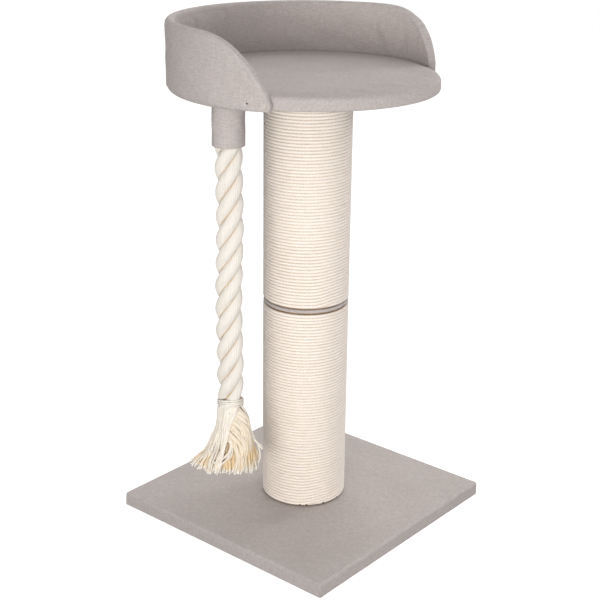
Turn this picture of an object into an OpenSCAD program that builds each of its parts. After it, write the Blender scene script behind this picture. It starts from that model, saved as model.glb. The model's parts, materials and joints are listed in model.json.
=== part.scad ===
// Cat scratcher: a square covered base, a thick sisal post in two sections, and a round
// padded platform with a low curved wall, from which a thick cotton rope hangs in a holder.
// The post's axis is Z, the floor is at z = 0, and the middle of the wall is towards +Y.

/* [Base] */
// Width of the square base
base_w = 460; // [400:5:520]
// Thickness of the base with its cover
base_t = 25; // [22:1:36]
// Rounding of the base's corners and upper edges
base_round = 6; // [3:0.5:9]
// How far the base's cover is folded under the board
base_hem_w = 35; // [25:1:60]
// Thickness of the woven cover on every covered piece
fabric_t = 1.2; // [0.8:0.1:1.8]

/* [Post] */
// Outer diameter of the post over its sisal
post_d = 150; // [120:1:170]
// Length of each of the two post sections
section_l = 368; // [280:1:450]
// Diameter of the sisal rope
sisal_d = 6; // [5:0.5:8]
// Room for glue between the cardboard tube and the sisal
glue_t = 0.6; // [0.6:0.1:1.2]
// Bare length of tube left at each end of a winding
wind_margin = 2; // [1:0.5:6]
// Wall of the cardboard tube
tube_wall = 4.5; // [3:0.5:8]
// Thickness of the wooden plugs in the tube's ends
plug_t = 18; // [15:1:25]
// Thickness of the covered spacer between the sections
spacer_t = 6; // [5:0.5:12]
// How far the spacer stays inside the sisal all round
spacer_inset = 1; // [0.5:0.5:5]

/* [Platform] */
// Diameter of the covered platform
platform_d = 434; // [380:2:480]
// Thickness of the platform's board
board_t = 15; // [14:1:20]
// Thickness of the foam on the board
foam_t = 5.6; // [4:0.2:12]
// Rounding of the platform's upper edge
platform_round = 5; // [3:0.5:6]
// How much higher the middle of the platform is than its edge
crown = 1.5; // [0.5:0.5:6]
// How far the platform's cover is folded under the board
platform_hem_w = 30; // [20:1:50]
// Turn of the platform on the post, as it was screwed on
platform_turn = -2; // [-4:1:4]

/* [Wall] */
// Height of the wall from the platform's underside
wall_h = 113; // [80:1:150]
// Turn of the wall round the platform
wall_turn = -1.25; // [-3:0.25:3]
// Thickness of the padded wall
wall_t = 15.7; // [13:0.1:20]
// Thickness of the bent board in the wall
panel_t = 6; // [3:0.5:8]
// How far the wall's two ends reach forward of the post's axis
wall_tip_y = 107.5; // [80:0.5:130]
// Height of the wall's ends, where its top edge stops falling
wall_tip_h = 12.4; // [6:0.1:20]
// How far behind the post's axis the top edge starts to fall
wall_fall_y = 41; // [0:1:60]
// Width of the sewn slit under the wall
wall_slit_w = 5; // [3:0.5:6]

/* [Rope holder] */
// Distance from the platform's edge to the holder's axis
holder_inset = 31; // [29:1:60]
// Length of the holder
holder_l = 70; // [66:1:90]
// Wall of the holder's cardboard tube
holder_wall = 2; // [1.5:0.5:4]
// Thickness of the wooden plug in the holder
holder_plug_t = 16; // [14:1:22]

/* [Rope] */
// Diameter of the hanging rope
rope_d = 45; // [36:1:48]
// How far below the holder the rope starts to swing
pivot_drop = 12; // [11:1:14]
// Diameter of the rope where it is bound
bound_d = 36; // [30:0.5:38]
// Diameter of the binding cord
whip_d = 3; // [2:0.5:4]
// Turns of the binding cord
whip_turns = 3.25; // [2:0.25:5]
// Length of the tassel below the rope
tassel_l = 123; // [80:1:140]
// Greatest diameter of the tassel
tassel_d = 100; // [70:1:110]

/* [Fasteners] */
// Diameter of the base bolt and the studs
bolt_d = 10; // [8:1:12]
// Diameter of the washer under the base bolt's head
washer_d = 30; // [26:1:34]
// Diameter of the wall's wood screws
wall_screw_d = 4.5; // [3.5:0.5:5.5]
// Length of the wall's wood screws
wall_screw_l = 35; // [28:1:45]
// Diameter of the pins near the wall's ends
brad_d = 1.6; // [1.2:0.2:2]
// Diameter of the screws that hold the holder's plug
holder_screw_d = 4; // [3:0.5:4.5]
// Diameter of the screw that carries the rope
rope_screw_d = 5; // [4:0.5:6]
// Length of the screw that carries the rope
rope_screw_l = 40; // [36:1:42]

/* [Hidden] */
$fn = 96;
// Play round a driven screw, between two covers, round the turning rope and between rope parts
driven_gap = 0.05;
lay_gap = 0.3;
rope_gap = 0.3;
turn_gap = 0.1;
// How far a cut runs past the face that it opens
past = 1;
// Levels
platform_z = base_t + 2 * section_l + spacer_t;
spacer_z = base_t + section_l;
board_z = platform_z + fabric_t;
foam_z = board_z + board_t;
rim_z = foam_z + foam_t + fabric_t;
mouth_z = platform_z - holder_l;
pivot_z = mouth_z - pivot_drop;
holder_plug_z = platform_z - holder_plug_t;
// Radii
post_r = post_d / 2;
tube_r = post_r - sisal_d - glue_t;
plug_r = tube_r - tube_wall;
platform_r = platform_d / 2;
board_r = platform_r - fabric_t;
wall_in_r = platform_r + lay_gap;
wall_out_r = wall_in_r + wall_t;
pad_t = (wall_t - panel_t) / 2 - fabric_t;
rope_r = rope_d / 2;
holder_in_r = rope_r + rope_gap;
holder_tube_r = holder_in_r + holder_wall;
holder_r = holder_tube_r + fabric_t;
holder_x = platform_r - holder_inset;
// Tee nuts, studs and the base bolt
tee_barrel_l = 11;
tee_barrel_wall = 1.5;
tee_barrel_r = bolt_d / 2 + tee_barrel_wall;
tee_flange_t = 1.5;
tee_flange_w = 8;
tee_flange_r = bolt_d / 2 + tee_flange_w;
stud_short = 1;
stud_grip = plug_t - stud_short;
bolt_hole_r = bolt_d / 2 + lay_gap;
head_h = 6.4;
head_key = bolt_d * 1.7;
washer_t = 2.5;
head_room = 1;
seat_z = fabric_t + head_room + head_h + washer_t;
stud_past = 2;
bolt_end_z = base_t + plug_t + tee_flange_t + stud_past;
// Nails through the tubes into their plugs
nail_d = 2.2;
nail_l = 22;
nail_head_r = 2.5;
nail_head_t = 1;
nail_angles = [45, 135, 225, 315];
// Points of the wall's falling edge, and the powers that bow it outwards and drop it at the end
wall_fall_steps = 16;
wall_fall_bow = 3.1;
wall_fall_drop = 0.88;
// Fasteners of the wall, as angles from the middle of the wall
wall_screw_angles = [-72, -36, 0, 36, 72];
brad_angles = [-110, 110];
wall_screw_head_r = 4;
wall_screw_head_t = 2.5;
wall_screw_z = board_z + board_t / 2;
brad_z = board_z + board_t * 0.7;
brad_l = 32;
brad_head_r = 1.5;
brad_head_t = 0.8;
// Screws and nails of the holder
holder_screw_l = 28;
holder_screw_y = 13;
holder_screw_head_r = 3.8;
holder_screw_head_t = 3;
holder_nail_d = 1.6;
holder_nail_l = 14;
holder_nail_head_r = 1.8;
holder_nail_head_t = 0.8;
holder_nail_angles = [0, 120, 240];
// The rope's held end, and the screw and washer in it
neck_top_gap = 2;
rope_screw_hold = 13;
neck_low_z = pivot_z + rope_r + rope_gap;
neck_high_z = holder_plug_z - neck_top_gap;
rope_screw_z = holder_plug_z + rope_screw_hold - rope_screw_l;
rope_screw_head_r = 4.6;
rope_screw_head_t = 3;
rope_washer_r = 10;
rope_washer_t = 1.5;
neck_seat_z = rope_screw_z + rope_washer_t + turn_gap;
neck_hollow_z = rope_screw_z - rope_screw_head_t - head_room;
neck_hollow_r = rope_washer_r + head_room;
// Staples
staple_w = 10;
staple_wire = 0.9;
staple_leg = 8;
staple_sunk = 0.1;
staples_a_side = 5;
platform_staples_n = 18;
// Route of the free rope from its pivot down, from the middle of the holder's mouth
rope_route = [
    [0, 0, -12], [0, 0, -30], [0.5, 0, -60], [1, -0.5, -90], [1, -1, -120],
    [0.5, -1, -150], [0, -0.5, -180], [-0.5, 0, -210], [-1, 0.5, -240], [-1, 1, -270],
    [-0.5, 1, -300], [0, 0.5, -330], [0.5, 0, -360], [0.5, 0, -390], [0, 0, -420],
    [0, 0, -432], [0, 0, -447]
];
rope_sides = 12;
rope_end_z = mouth_z + rope_route[len(rope_route) - 1].z;
// Windings: the outer layer of each section, and the binding cord
wind_loops = 20;
wind_rings = 18;
wind_gap = 0.6;
wind_bevel = 2;
whip_rings = 10;
whip_sides = 5;
whip_gap = 0.5;

fabric_colour = [0.72, 0.69, 0.67];
sisal_colour = [0.9, 0.85, 0.74];
cotton_colour = [0.94, 0.92, 0.87];
board_colour = [0.76, 0.62, 0.45];
cardboard_colour = [0.68, 0.55, 0.4];
foam_colour = [0.93, 0.91, 0.8];
steel_colour = [0.75, 0.76, 0.78];
liner_colour = [0.25, 0.25, 0.26];

// Shapes that repeat

// A rod along Z between two heights
module rod(r, z0, z1) {
    translate([0, 0, z0]) cylinder(r = r, h = z1 - z0);
}

// A rod that points outwards along X between two distances
module radial_rod(r, x0, x1) {
    translate([x0, 0, 0]) rotate([0, 90, 0]) cylinder(r = r, h = x1 - x0, $fn = 32);
}

// A tube or ring along Z between two heights
module ring(r_out, r_in, z0, z1) {
    difference() {
        rod(r_out, z0, z1);
        rod(r_in, z0 - past, z1 + past);
    }
}

// A square block with rounded corners and a rounded upper edge
module soft_block(w, z0, z1, r) {
    hull() {
        translate([0, 0, z1 - r / 2]) cube([w - 2 * r, w - 2 * r, r], center = true);
        for (x = [-1, 1], y = [-1, 1]) {
            translate([x * (w / 2 - r), y * (w / 2 - r), z0]) {
                cylinder(r = r, h = z1 - r - z0, $fn = 32);
                translate([0, 0, z1 - r - z0]) sphere(r, $fn = 32);
            }
        }
    }
}

// A round plate between two heights, with a rounded upper edge and a slightly raised middle
module soft_disc(r, z0, z1, edge_r) {
    rotate_extrude() {
        union() {
            polygon([[0, z0], [r, z0], [r, z1 - edge_r], [r - edge_r, z1], [0, z1 + crown]]);
            intersection() {
                translate([r - edge_r, z1 - edge_r]) circle(edge_r);
                translate([r - edge_r, z1 - edge_r]) square(edge_r);
            }
        }
    }
}

// Puts something at the platform's turn on the post
module on_platform() {
    rotate([0, 0, platform_turn]) children();
}

// Puts something at the axis of the rope's holder
module at_holder() {
    on_platform() translate([-holder_x, 0, 0]) children();
}

// Turns something with the wall, whose screws and staples keep their places between them
module on_wall() {
    on_platform() rotate([0, 0, wall_turn]) children();
}

// Puts something at each of some angles from the middle of the wall, with X outwards
module round_wall(angles, z) {
    on_wall() {
        for (a = angles) {
            rotate([0, 0, 90 + a]) translate([0, 0, z]) children();
        }
    }
}

// A wire staple whose legs point up, with its crown pressed into the cloth
module staple() {
    translate([-staple_w / 2, -staple_wire / 2, 0]) cube([staple_w, staple_wire, staple_wire]);
    for (x = [-staple_w / 2, staple_w / 2 - staple_wire]) {
        translate([x, -staple_wire / 2, 0]) cube([staple_wire, staple_wire, staple_leg]);
    }
}

// A tee nut whose barrel points down from its flange
module tee_nut() {
    difference() {
        union() {
            rod(tee_flange_r, 0, tee_flange_t);
            rod(tee_barrel_r, -tee_barrel_l, tee_flange_t / 2);
        }
        rod(bolt_d / 2 + driven_gap, -tee_barrel_l - past, tee_flange_t + past);
    }
}

// The room that a tee nut's barrel and the bolt through it take in a plug or board
module tee_cut(z, up, through) {
    translate([0, 0, z]) mirror([0, 0, up ? 1 : 0]) {
        rod(tee_barrel_r + driven_gap, -tee_barrel_l - driven_gap, past);
        rod(bolt_d / 2 + driven_gap, -through - past, past);
    }
}

// Triangles that close a tube of rings, each ring of so many points
function tube_faces(rings, sides) = concat(
    [for (i = [0 : rings - 2], j = [0 : sides - 1])
        [i * sides + j, (i + 1) * sides + j, i * sides + (j + 1) % sides]],
    [for (i = [0 : rings - 2], j = [0 : sides - 1])
        [(i + 1) * sides + j, (i + 1) * sides + (j + 1) % sides, i * sides + (j + 1) % sides]],
    [for (j = [1 : sides - 2]) [0, j, j + 1]],
    [for (j = [1 : sides - 2])
        [(rings - 1) * sides, (rings - 1) * sides + j + 1, (rings - 1) * sides + j]]
);

// Winding of a section, as one unbroken band that starts and ends as wide as the rope
wind_l = section_l - 2 * wind_margin;
wind_pitch = (wind_l - 2 * sisal_d - wind_gap) / (wind_loops - 1);
wind_in_r = (tube_r + driven_gap) / cos(180 / wind_rings);
wind_mid_r = (wind_in_r + post_r) / 2;
wind_count = wind_loops * wind_rings;
// Upper and lower edge of the band after so many turns
function band_top(turns) = turns > wind_loops - 1 ? wind_l : sisal_d + wind_pitch * turns;
function band_bottom(turns) = wind_l - band_top(wind_loops - turns);
function turned(p, i, rings) = [p.x * cos(360 * i / rings), p.x * sin(360 * i / rings), p.y];
function band_ring(i) =
    let (
        low = band_bottom(i / wind_rings),
        high = band_top(i / wind_rings),
        bevel = min(wind_bevel, (high - low) / 3))
    [for (p = [
        [wind_mid_r, low], [post_r, low + bevel], [post_r, high - bevel],
        [wind_mid_r, high], [wind_in_r, high - bevel], [wind_in_r, low + bevel]])
        turned(p, i, wind_rings)];
echo("least gap in a sisal winding", min(
    [for (i = [0 : wind_count - wind_rings], k = [-1 : 1])
        norm(band_ring(min(max(i + wind_rings + k, 0), wind_count))[0] - band_ring(i)[3])]));

// Binding cord round the rope's end
whip_pitch = whip_d + whip_gap;
whip_r = (bound_d / 2 + rope_gap) / cos(180 / whip_rings) + whip_d / 2;
whip_count = floor(whip_turns * whip_rings);
function whip_ring(i) = [for (j = [0 : whip_sides - 1])
    turned([
        whip_r + whip_d / 2 * cos(360 * (j + 0.5) / whip_sides),
        whip_pitch * i / whip_rings + whip_d / 2 * sin(360 * (j + 0.5) / whip_sides)
    ], i, whip_rings)];
echo("least gap in the binding", min(
    [for (i = [0 : whip_count - whip_rings], a = whip_ring(i), b = whip_ring(i + whip_rings))
        norm(a - b)]));

// Base

module base_board() {
    color(board_colour) difference() {
        soft_block(base_w - 2 * fabric_t, fabric_t, base_t - fabric_t, base_round - fabric_t);
        rod(bolt_hole_r, 0, base_t);
        rod(washer_d / 2 + head_room, 0, seat_z);
    }
}

module base_cover() {
    color(fabric_colour) difference() {
        soft_block(base_w, 0, base_t, base_round);
        soft_block(base_w - 2 * fabric_t, fabric_t, base_t - fabric_t, base_round - fabric_t);
        translate([0, 0, fabric_t / 2])
            cube([base_w - 2 * base_hem_w, base_w - 2 * base_hem_w, fabric_t + past], center = true);
        rod(bolt_hole_r, base_t / 2, base_t + past);
    }
}

module base_liner() {
    liner_w = base_w - 2 * base_hem_w - 2 * lay_gap;
    color(liner_colour)
        translate([0, 0, fabric_t / 2]) cube([liner_w, liner_w, fabric_t], center = true);
}

module base_staples() {
    pitch = (base_w - 2 * base_hem_w) / (staples_a_side - 1);
    row_y = base_hem_w / 2 - base_w / 2;
    color(steel_colour) {
        for (side = [0 : 3], i = [0 : staples_a_side - 1]) {
            rotate([0, 0, 90 * side])
                translate([(i - (staples_a_side - 1) / 2) * pitch, row_y, staple_sunk])
                    staple();
        }
    }
}

module base_bolt() {
    color(steel_colour) {
        rod(bolt_d / 2, seat_z - washer_t - head_h / 2, bolt_end_z);
        translate([0, 0, seat_z - washer_t - head_h]) cylinder(d = head_key / cos(30), h = head_h, $fn = 6);
    }
}

module base_washer() {
    color(steel_colour) ring(washer_d / 2, bolt_d / 2 + driven_gap, seat_z - washer_t, seat_z);
}

// Post

module post_tube(z0) {
    z1 = z0 + section_l;
    color(cardboard_colour) difference() {
        ring(tube_r, plug_r, z0, z1);
        nail_cuts(z0 + plug_t / 2);
        nail_cuts(z1 - plug_t / 2);
    }
}

module nail(r_more) {
    head_x = tube_r - 0.1;
    radial_rod(nail_d / 2 + r_more, head_x - nail_l, head_x - nail_head_t / 2);
    radial_rod(nail_head_r + r_more, head_x - nail_head_t, head_x + 2 * r_more);
}

module nail_cuts(z) {
    for (a = nail_angles) {
        rotate([0, 0, a]) translate([0, 0, z]) {
            nail(driven_gap);
            radial_rod(nail_head_r + driven_gap, tube_r - nail_head_t, tube_r + past);
        }
    }
}

// A plug whose tee nut sits on its lower face (up) or on its upper face
module post_plug(z0, up) {
    color(board_colour) difference() {
        rod(plug_r - driven_gap, z0, z0 + plug_t);
        tee_cut(up ? z0 : z0 + plug_t, up, plug_t);
        nail_cuts(z0 + plug_t / 2);
    }
}

module winding(z0) {
    color(sisal_colour) translate([0, 0, z0 + wind_margin])
        polyhedron(
            points = [for (i = [0 : wind_count], p = band_ring(i)) p],
            faces = tube_faces(wind_count + 1, 6));
}

module lower_tube() { post_tube(base_t); }
module upper_tube() { post_tube(spacer_z + spacer_t); }
module lower_bottom_plug() { post_plug(base_t, false); }
module lower_top_plug() { post_plug(spacer_z - plug_t, true); }
module upper_bottom_plug() { post_plug(spacer_z + spacer_t, false); }
module upper_top_plug() { post_plug(platform_z - plug_t, true); }
module lower_sisal() { winding(base_t); }
module upper_sisal() { winding(spacer_z + spacer_t); }

module spacer_disc() {
    r = post_r - spacer_inset - fabric_t;
    color(board_colour)
        ring(r, bolt_hole_r, spacer_z + fabric_t, spacer_z + spacer_t - fabric_t);
}

module spacer_cover() {
    r = post_r - spacer_inset;
    color(fabric_colour) difference() {
        rod(r, spacer_z, spacer_z + spacer_t);
        rod(r - fabric_t, spacer_z + fabric_t, spacer_z + spacer_t - fabric_t);
        rod(bolt_hole_r, spacer_z - past, spacer_z + spacer_t + past);
    }
}

module joint_stud() {
    color(steel_colour) rod(bolt_d / 2, spacer_z - stud_grip, spacer_z + spacer_t + stud_grip);
}

module platform_stud() {
    color(steel_colour) rod(bolt_d / 2, platform_z - stud_grip, foam_z - lay_gap);
}

module tee_nuts() {
    color(steel_colour) {
        for (z = [base_t + plug_t, spacer_z + spacer_t + plug_t, foam_z - tee_flange_t]) {
            translate([0, 0, z]) tee_nut();
        }
        for (z = [spacer_z - plug_t, platform_z - plug_t]) {
            translate([0, 0, z]) mirror([0, 0, 1]) tee_nut();
        }
    }
}

module tube_nails() {
    plug_zs = [base_t, spacer_z - plug_t, spacer_z + spacer_t, platform_z - plug_t];
    color(steel_colour) {
        for (z = plug_zs, a = nail_angles) {
            rotate([0, 0, a]) translate([0, 0, z + plug_t / 2]) nail(0);
        }
    }
}

// Platform

module platform_board() {
    color(board_colour) difference() {
        rod(board_r, board_z, foam_z);
        tee_cut(foam_z - tee_flange_t, false, board_t);
        rod(tee_flange_r + driven_gap, foam_z - tee_flange_t, foam_z + past);
        wall_screw_cuts();
        brad_cuts();
        holder_screw_cuts();
    }
}

module platform_foam() {
    color(foam_colour) soft_disc(board_r, foam_z, rim_z - fabric_t, platform_round - fabric_t);
}

module platform_cover() {
    color(fabric_colour) difference() {
        soft_disc(platform_r, platform_z, rim_z, platform_round);
        soft_disc(board_r, board_z, rim_z - fabric_t, platform_round - fabric_t);
        rod(board_r - platform_hem_w, platform_z - past, board_z + past);
        wall_screw_cuts();
        brad_cuts();
        holder_screw_cuts();
    }
}

module platform_liner() {
    color(liner_colour) difference() {
        rod(board_r - platform_hem_w - lay_gap, platform_z, board_z);
        rod(bolt_hole_r, platform_z - past, board_z + past);
        holder_screw_cuts();
    }
}

module platform_staples() {
    color(steel_colour) on_wall() {
        for (i = [0 : platform_staples_n - 1]) {
            rotate([0, 0, (i + 0.5) * 360 / platform_staples_n])
                translate([board_r - platform_hem_w / 2, 0, platform_z + staple_sunk])
                    rotate([0, 0, 90]) staple();
        }
    }
}

// Wall

// Side view of the wall, drawn in by the padding's and the cover's thickness
module wall_side(inset, foot) {
    top = wall_h - inset;
    tip = inset - wall_tip_y;
    fall = [for (i = [0 : wall_fall_steps])
        let (u = cos(90 * i / wall_fall_steps))
        [wall_fall_y - u * (wall_fall_y - tip),
            wall_tip_h + (top - wall_tip_h) * pow(1 - pow(u, wall_fall_bow), wall_fall_drop)]];
    back = wall_out_r + past;
    polygon(concat([[tip, foot]], fall, [[back, top], [back, foot]]));
}

module wall_form(inset, foot) {
    on_wall() translate([0, 0, platform_z]) intersection() {
        rotate_extrude() translate([wall_in_r + inset, foot])
            square([wall_t - 2 * inset, wall_h - foot]);
        rotate([90, 0, 90]) translate([0, 0, -2 * platform_r])
            linear_extrude(4 * platform_r) wall_side(inset, foot);
    }
}

module wall_screw(r_more) {
    head_x = wall_out_r - fabric_t - pad_t;
    radial_rod(wall_screw_d / 2 + r_more, head_x - wall_screw_l, head_x - wall_screw_head_t / 2);
    radial_rod(wall_screw_head_r + r_more, head_x - wall_screw_head_t, head_x + r_more);
}

module brad(r_more) {
    radial_rod(brad_d / 2 + r_more, wall_out_r - brad_l, wall_out_r - brad_head_t / 2);
    radial_rod(brad_head_r + r_more, wall_out_r - brad_head_t, wall_out_r);
}

module wall_screw_cuts() {
    round_wall(wall_screw_angles, wall_screw_z) wall_screw(driven_gap);
}

module brad_cuts() {
    round_wall(brad_angles, brad_z) {
        brad(driven_gap);
        radial_rod(brad_head_r + driven_gap, wall_out_r - brad_head_t, wall_out_r + past);
    }
}

module wall_panel() {
    color(board_colour) difference() {
        wall_form(fabric_t + pad_t, fabric_t);
        wall_screw_cuts();
        brad_cuts();
    }
}

module wall_padding() {
    color(foam_colour) difference() {
        wall_form(fabric_t, fabric_t);
        wall_form(fabric_t + pad_t, 0);
        wall_screw_cuts();
        brad_cuts();
    }
}

module wall_cover() {
    mid_r = wall_in_r + wall_t / 2;
    color(fabric_colour) difference() {
        wall_form(0, 0);
        wall_form(fabric_t, fabric_t);
        ring(mid_r + wall_slit_w / 2, mid_r - wall_slit_w / 2, platform_z - past, board_z + driven_gap);
        wall_screw_cuts();
        brad_cuts();
    }
}

module wall_screws() {
    color(steel_colour) round_wall(wall_screw_angles, wall_screw_z) wall_screw(0);
}

module wall_brads() {
    color(steel_colour) round_wall(brad_angles, brad_z) brad(0);
}

// Rope holder

module holder_screw(r_more) {
    for (y = [-holder_screw_y, holder_screw_y]) {
        translate([0, y, holder_plug_z]) {
            rod(holder_screw_d / 2 + r_more, 0, holder_screw_l);
            rod(holder_screw_head_r + r_more, 0, holder_screw_head_t);
        }
    }
}

module holder_screw_cuts() {
    at_holder() {
        holder_screw(driven_gap);
        for (y = [-holder_screw_y, holder_screw_y]) {
            translate([0, y, 0])
                rod(holder_screw_head_r + driven_gap, holder_plug_z - past, holder_plug_z + past);
        }
    }
}

module holder_nail(r_more) {
    head_x = holder_tube_r - 0.1;
    radial_rod(holder_nail_d / 2 + r_more, head_x - holder_nail_l, head_x - holder_nail_head_t / 2);
    radial_rod(holder_nail_head_r + r_more, head_x - holder_nail_head_t, head_x);
}

module round_holder() {
    at_holder() {
        for (a = holder_nail_angles) {
            rotate([0, 0, a]) translate([0, 0, holder_plug_z + holder_plug_t / 2]) children();
        }
    }
}

module holder_nail_cuts() {
    round_holder() {
        holder_nail(driven_gap);
        radial_rod(holder_nail_head_r + driven_gap, holder_tube_r - holder_nail_head_t, holder_tube_r + past);
    }
}

module holder_plug() {
    color(board_colour) difference() {
        at_holder() rod(holder_in_r - driven_gap, holder_plug_z, platform_z);
        holder_screw_cuts();
        holder_nail_cuts();
        at_holder()
            rod(rope_screw_d / 2 + driven_gap, holder_plug_z - past, rope_screw_z + rope_screw_l);
    }
}

module holder_screws() {
    color(steel_colour) at_holder() holder_screw(0);
}

module holder_tube() {
    color(cardboard_colour) difference() {
        at_holder() ring(holder_tube_r, holder_in_r, mouth_z + fabric_t, platform_z);
        holder_nail_cuts();
    }
}

module holder_cover() {
    color(fabric_colour) at_holder() {
        rotate_extrude() polygon([
            [holder_in_r, mouth_z], [holder_r, mouth_z], [holder_r, platform_z],
            [holder_tube_r, platform_z], [holder_tube_r, mouth_z + fabric_t],
            [holder_in_r, mouth_z + fabric_t]
        ]);
    }
}

module holder_nails() {
    color(steel_colour) round_holder() holder_nail(0);
}

module rope_screw() {
    color(steel_colour) at_holder() {
        rod(rope_screw_d / 2, rope_screw_z - rope_screw_head_t / 2, rope_screw_z + rope_screw_l);
        rod(rope_screw_head_r, rope_screw_z - rope_screw_head_t, rope_screw_z);
    }
}

module rope_washer() {
    color(steel_colour) at_holder()
        ring(rope_washer_r, rope_screw_d / 2 + driven_gap, rope_screw_z, rope_screw_z + rope_washer_t);
}

// Rope

module rope_neck() {
    color(cotton_colour) at_holder() difference() {
        rod(rope_r, neck_low_z, neck_high_z);
        rod(rope_screw_d / 2 + turn_gap, neck_hollow_z, neck_high_z + past);
        rod(neck_hollow_r, neck_hollow_z, neck_seat_z);
    }
}

function circle_ring(centre, r) = [for (j = [0 : rope_sides - 1])
    centre + [r * cos(360 * j / rope_sides), r * sin(360 * j / rope_sides), 0]];

module rope() {
    dome = [for (a = [85, 64, 43, 22])
        circle_ring([0, 0, rope_r * sin(a) - pivot_drop], rope_r * cos(a))];
    last = len(rope_route) - 1;
    drop = -pivot_drop - rope_route[0].z;
    run = [for (i = [0 : last])
        circle_ring(rope_route[i] + [0, 0, i == 0 ? drop : 0], i < last - 1 ? rope_r : bound_d / 2)];
    rings = concat(dome, run);
    color(cotton_colour) at_holder() translate([0, 0, mouth_z])
        polyhedron(
            points = [for (one = rings, p = one) p],
            faces = tube_faces(len(rings), rope_sides));
}

module whipping() {
    color(cotton_colour) at_holder() translate([0, 0, rope_end_z + whip_d / 2 + whip_gap])
        polyhedron(
            points = [for (i = [0 : whip_count], p = whip_ring(i)) p],
            faces = tube_faces(whip_count + 1, whip_sides));
}

module tassel() {
    top_r = bound_d / 2;
    r = tassel_d / 2;
    color(cotton_colour) at_holder() translate([0, 0, rope_end_z]) rotate_extrude() polygon([
        [0, 0], [top_r, 0], [top_r + 0.12 * r, -0.12 * tassel_l], [top_r + 0.25 * r, -0.35 * tassel_l],
        [top_r + 0.38 * r, -0.6 * tassel_l], [0.95 * r, -0.82 * tassel_l], [r, -0.9 * tassel_l],
        [0.96 * r, -0.96 * tassel_l], [0.8 * r, -tassel_l], [0, -tassel_l]
    ]);
}

base_board();
base_cover();
base_liner();
base_staples();
base_bolt();
base_washer();
lower_tube();
lower_bottom_plug();
lower_top_plug();
lower_sisal();
spacer_disc();
spacer_cover();
joint_stud();
upper_tube();
upper_bottom_plug();
upper_top_plug();
upper_sisal();
tee_nuts();
tube_nails();
platform_stud();
platform_board();
platform_foam();
platform_cover();
platform_liner();
platform_staples();
wall_panel();
wall_padding();
wall_cover();
wall_screws();
wall_brads();
holder_plug();
holder_screws();
holder_tube();
holder_cover();
holder_nails();
rope_screw();
rope_washer();
rope_neck();
rope();
whipping();
tassel();
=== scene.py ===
import json
import math

import bmesh
import bpy
import numpy as np
from mathutils import Matrix, Vector


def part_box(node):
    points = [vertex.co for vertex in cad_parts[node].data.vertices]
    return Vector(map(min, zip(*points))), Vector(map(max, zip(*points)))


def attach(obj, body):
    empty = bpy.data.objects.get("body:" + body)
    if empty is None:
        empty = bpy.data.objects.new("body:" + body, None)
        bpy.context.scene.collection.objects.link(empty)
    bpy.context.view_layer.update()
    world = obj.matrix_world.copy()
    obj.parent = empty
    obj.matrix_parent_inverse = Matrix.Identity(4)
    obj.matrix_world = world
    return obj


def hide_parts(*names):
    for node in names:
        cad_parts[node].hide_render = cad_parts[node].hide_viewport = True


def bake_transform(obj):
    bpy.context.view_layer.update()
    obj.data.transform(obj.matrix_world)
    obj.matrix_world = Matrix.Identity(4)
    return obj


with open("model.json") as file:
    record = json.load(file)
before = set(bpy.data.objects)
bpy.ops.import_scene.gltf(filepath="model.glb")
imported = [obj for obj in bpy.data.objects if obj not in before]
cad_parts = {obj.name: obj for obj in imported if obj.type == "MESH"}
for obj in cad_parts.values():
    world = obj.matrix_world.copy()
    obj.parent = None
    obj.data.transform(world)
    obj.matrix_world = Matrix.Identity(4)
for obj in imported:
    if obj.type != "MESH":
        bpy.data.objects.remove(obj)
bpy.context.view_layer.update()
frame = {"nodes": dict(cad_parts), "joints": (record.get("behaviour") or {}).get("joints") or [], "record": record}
mm = 0.001
fullTurn = 2 * math.pi


# The lowest and the highest corner of a node's box, in mm
def boxOf(node):
    return [[value / mm for value in corner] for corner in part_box(node)]


def addObject(name, data):
    piece = bpy.data.objects.new(name, data)
    bpy.context.scene.collection.objects.link(piece)
    return piece


# Camera, fitted to the base's corners, the post's edges and the platform's rims

photoView = {
    "imageWidth": 600,       # pixels
    "centreRow": 275,        # row of the picture that the lens looks straight at
    "focalLength": 1252.47,  # pixels
    "sensor": 36,            # mm
    "distance": 2.05592,     # m from the post's axis
    "height": 1.14286,       # m above the floor
    "turn": 0.8744,          # rad round the post
    "pitch": 0.3306,
    "yaw": -0.0052,
    "roll": 0.0116,
}


def placeCamera(view):
    pitch, yaw = view["pitch"], view["yaw"]
    level = math.cos(pitch)
    forward = Vector((math.sin(yaw) * level, math.cos(yaw) * level, -math.sin(pitch)))
    sideways = Vector((math.cos(yaw), -math.sin(yaw), 0))
    upright = sideways.cross(forward)
    right = math.cos(view["roll"]) * sideways + math.sin(view["roll"]) * upright
    up = math.cos(view["roll"]) * upright - math.sin(view["roll"]) * sideways
    spin = Matrix.Rotation(-view["turn"], 4, "Z")
    axes = Matrix((right, up, -forward)).transposed().to_4x4()
    axes.translation = (0, -view["distance"], view["height"])
    camera = addObject("camera", bpy.data.cameras.new("camera"))
    camera.data.sensor_width = view["sensor"]
    camera.data.lens = view["focalLength"] / view["imageWidth"] * view["sensor"]
    camera.data.shift_y = (view["centreRow"] - view["imageWidth"] / 2) / view["imageWidth"]
    camera.matrix_world = spin @ axes
    bpy.context.scene.camera = camera


placeCamera(photoView)
photoRight = Vector((math.cos(photoView["turn"]), -math.sin(photoView["turn"]), 0))
photoAway = Vector((math.sin(photoView["turn"]), math.cos(photoView["turn"]), 0))


# Node maths: a Field is one socket of a node tree that takes part in sums

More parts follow.
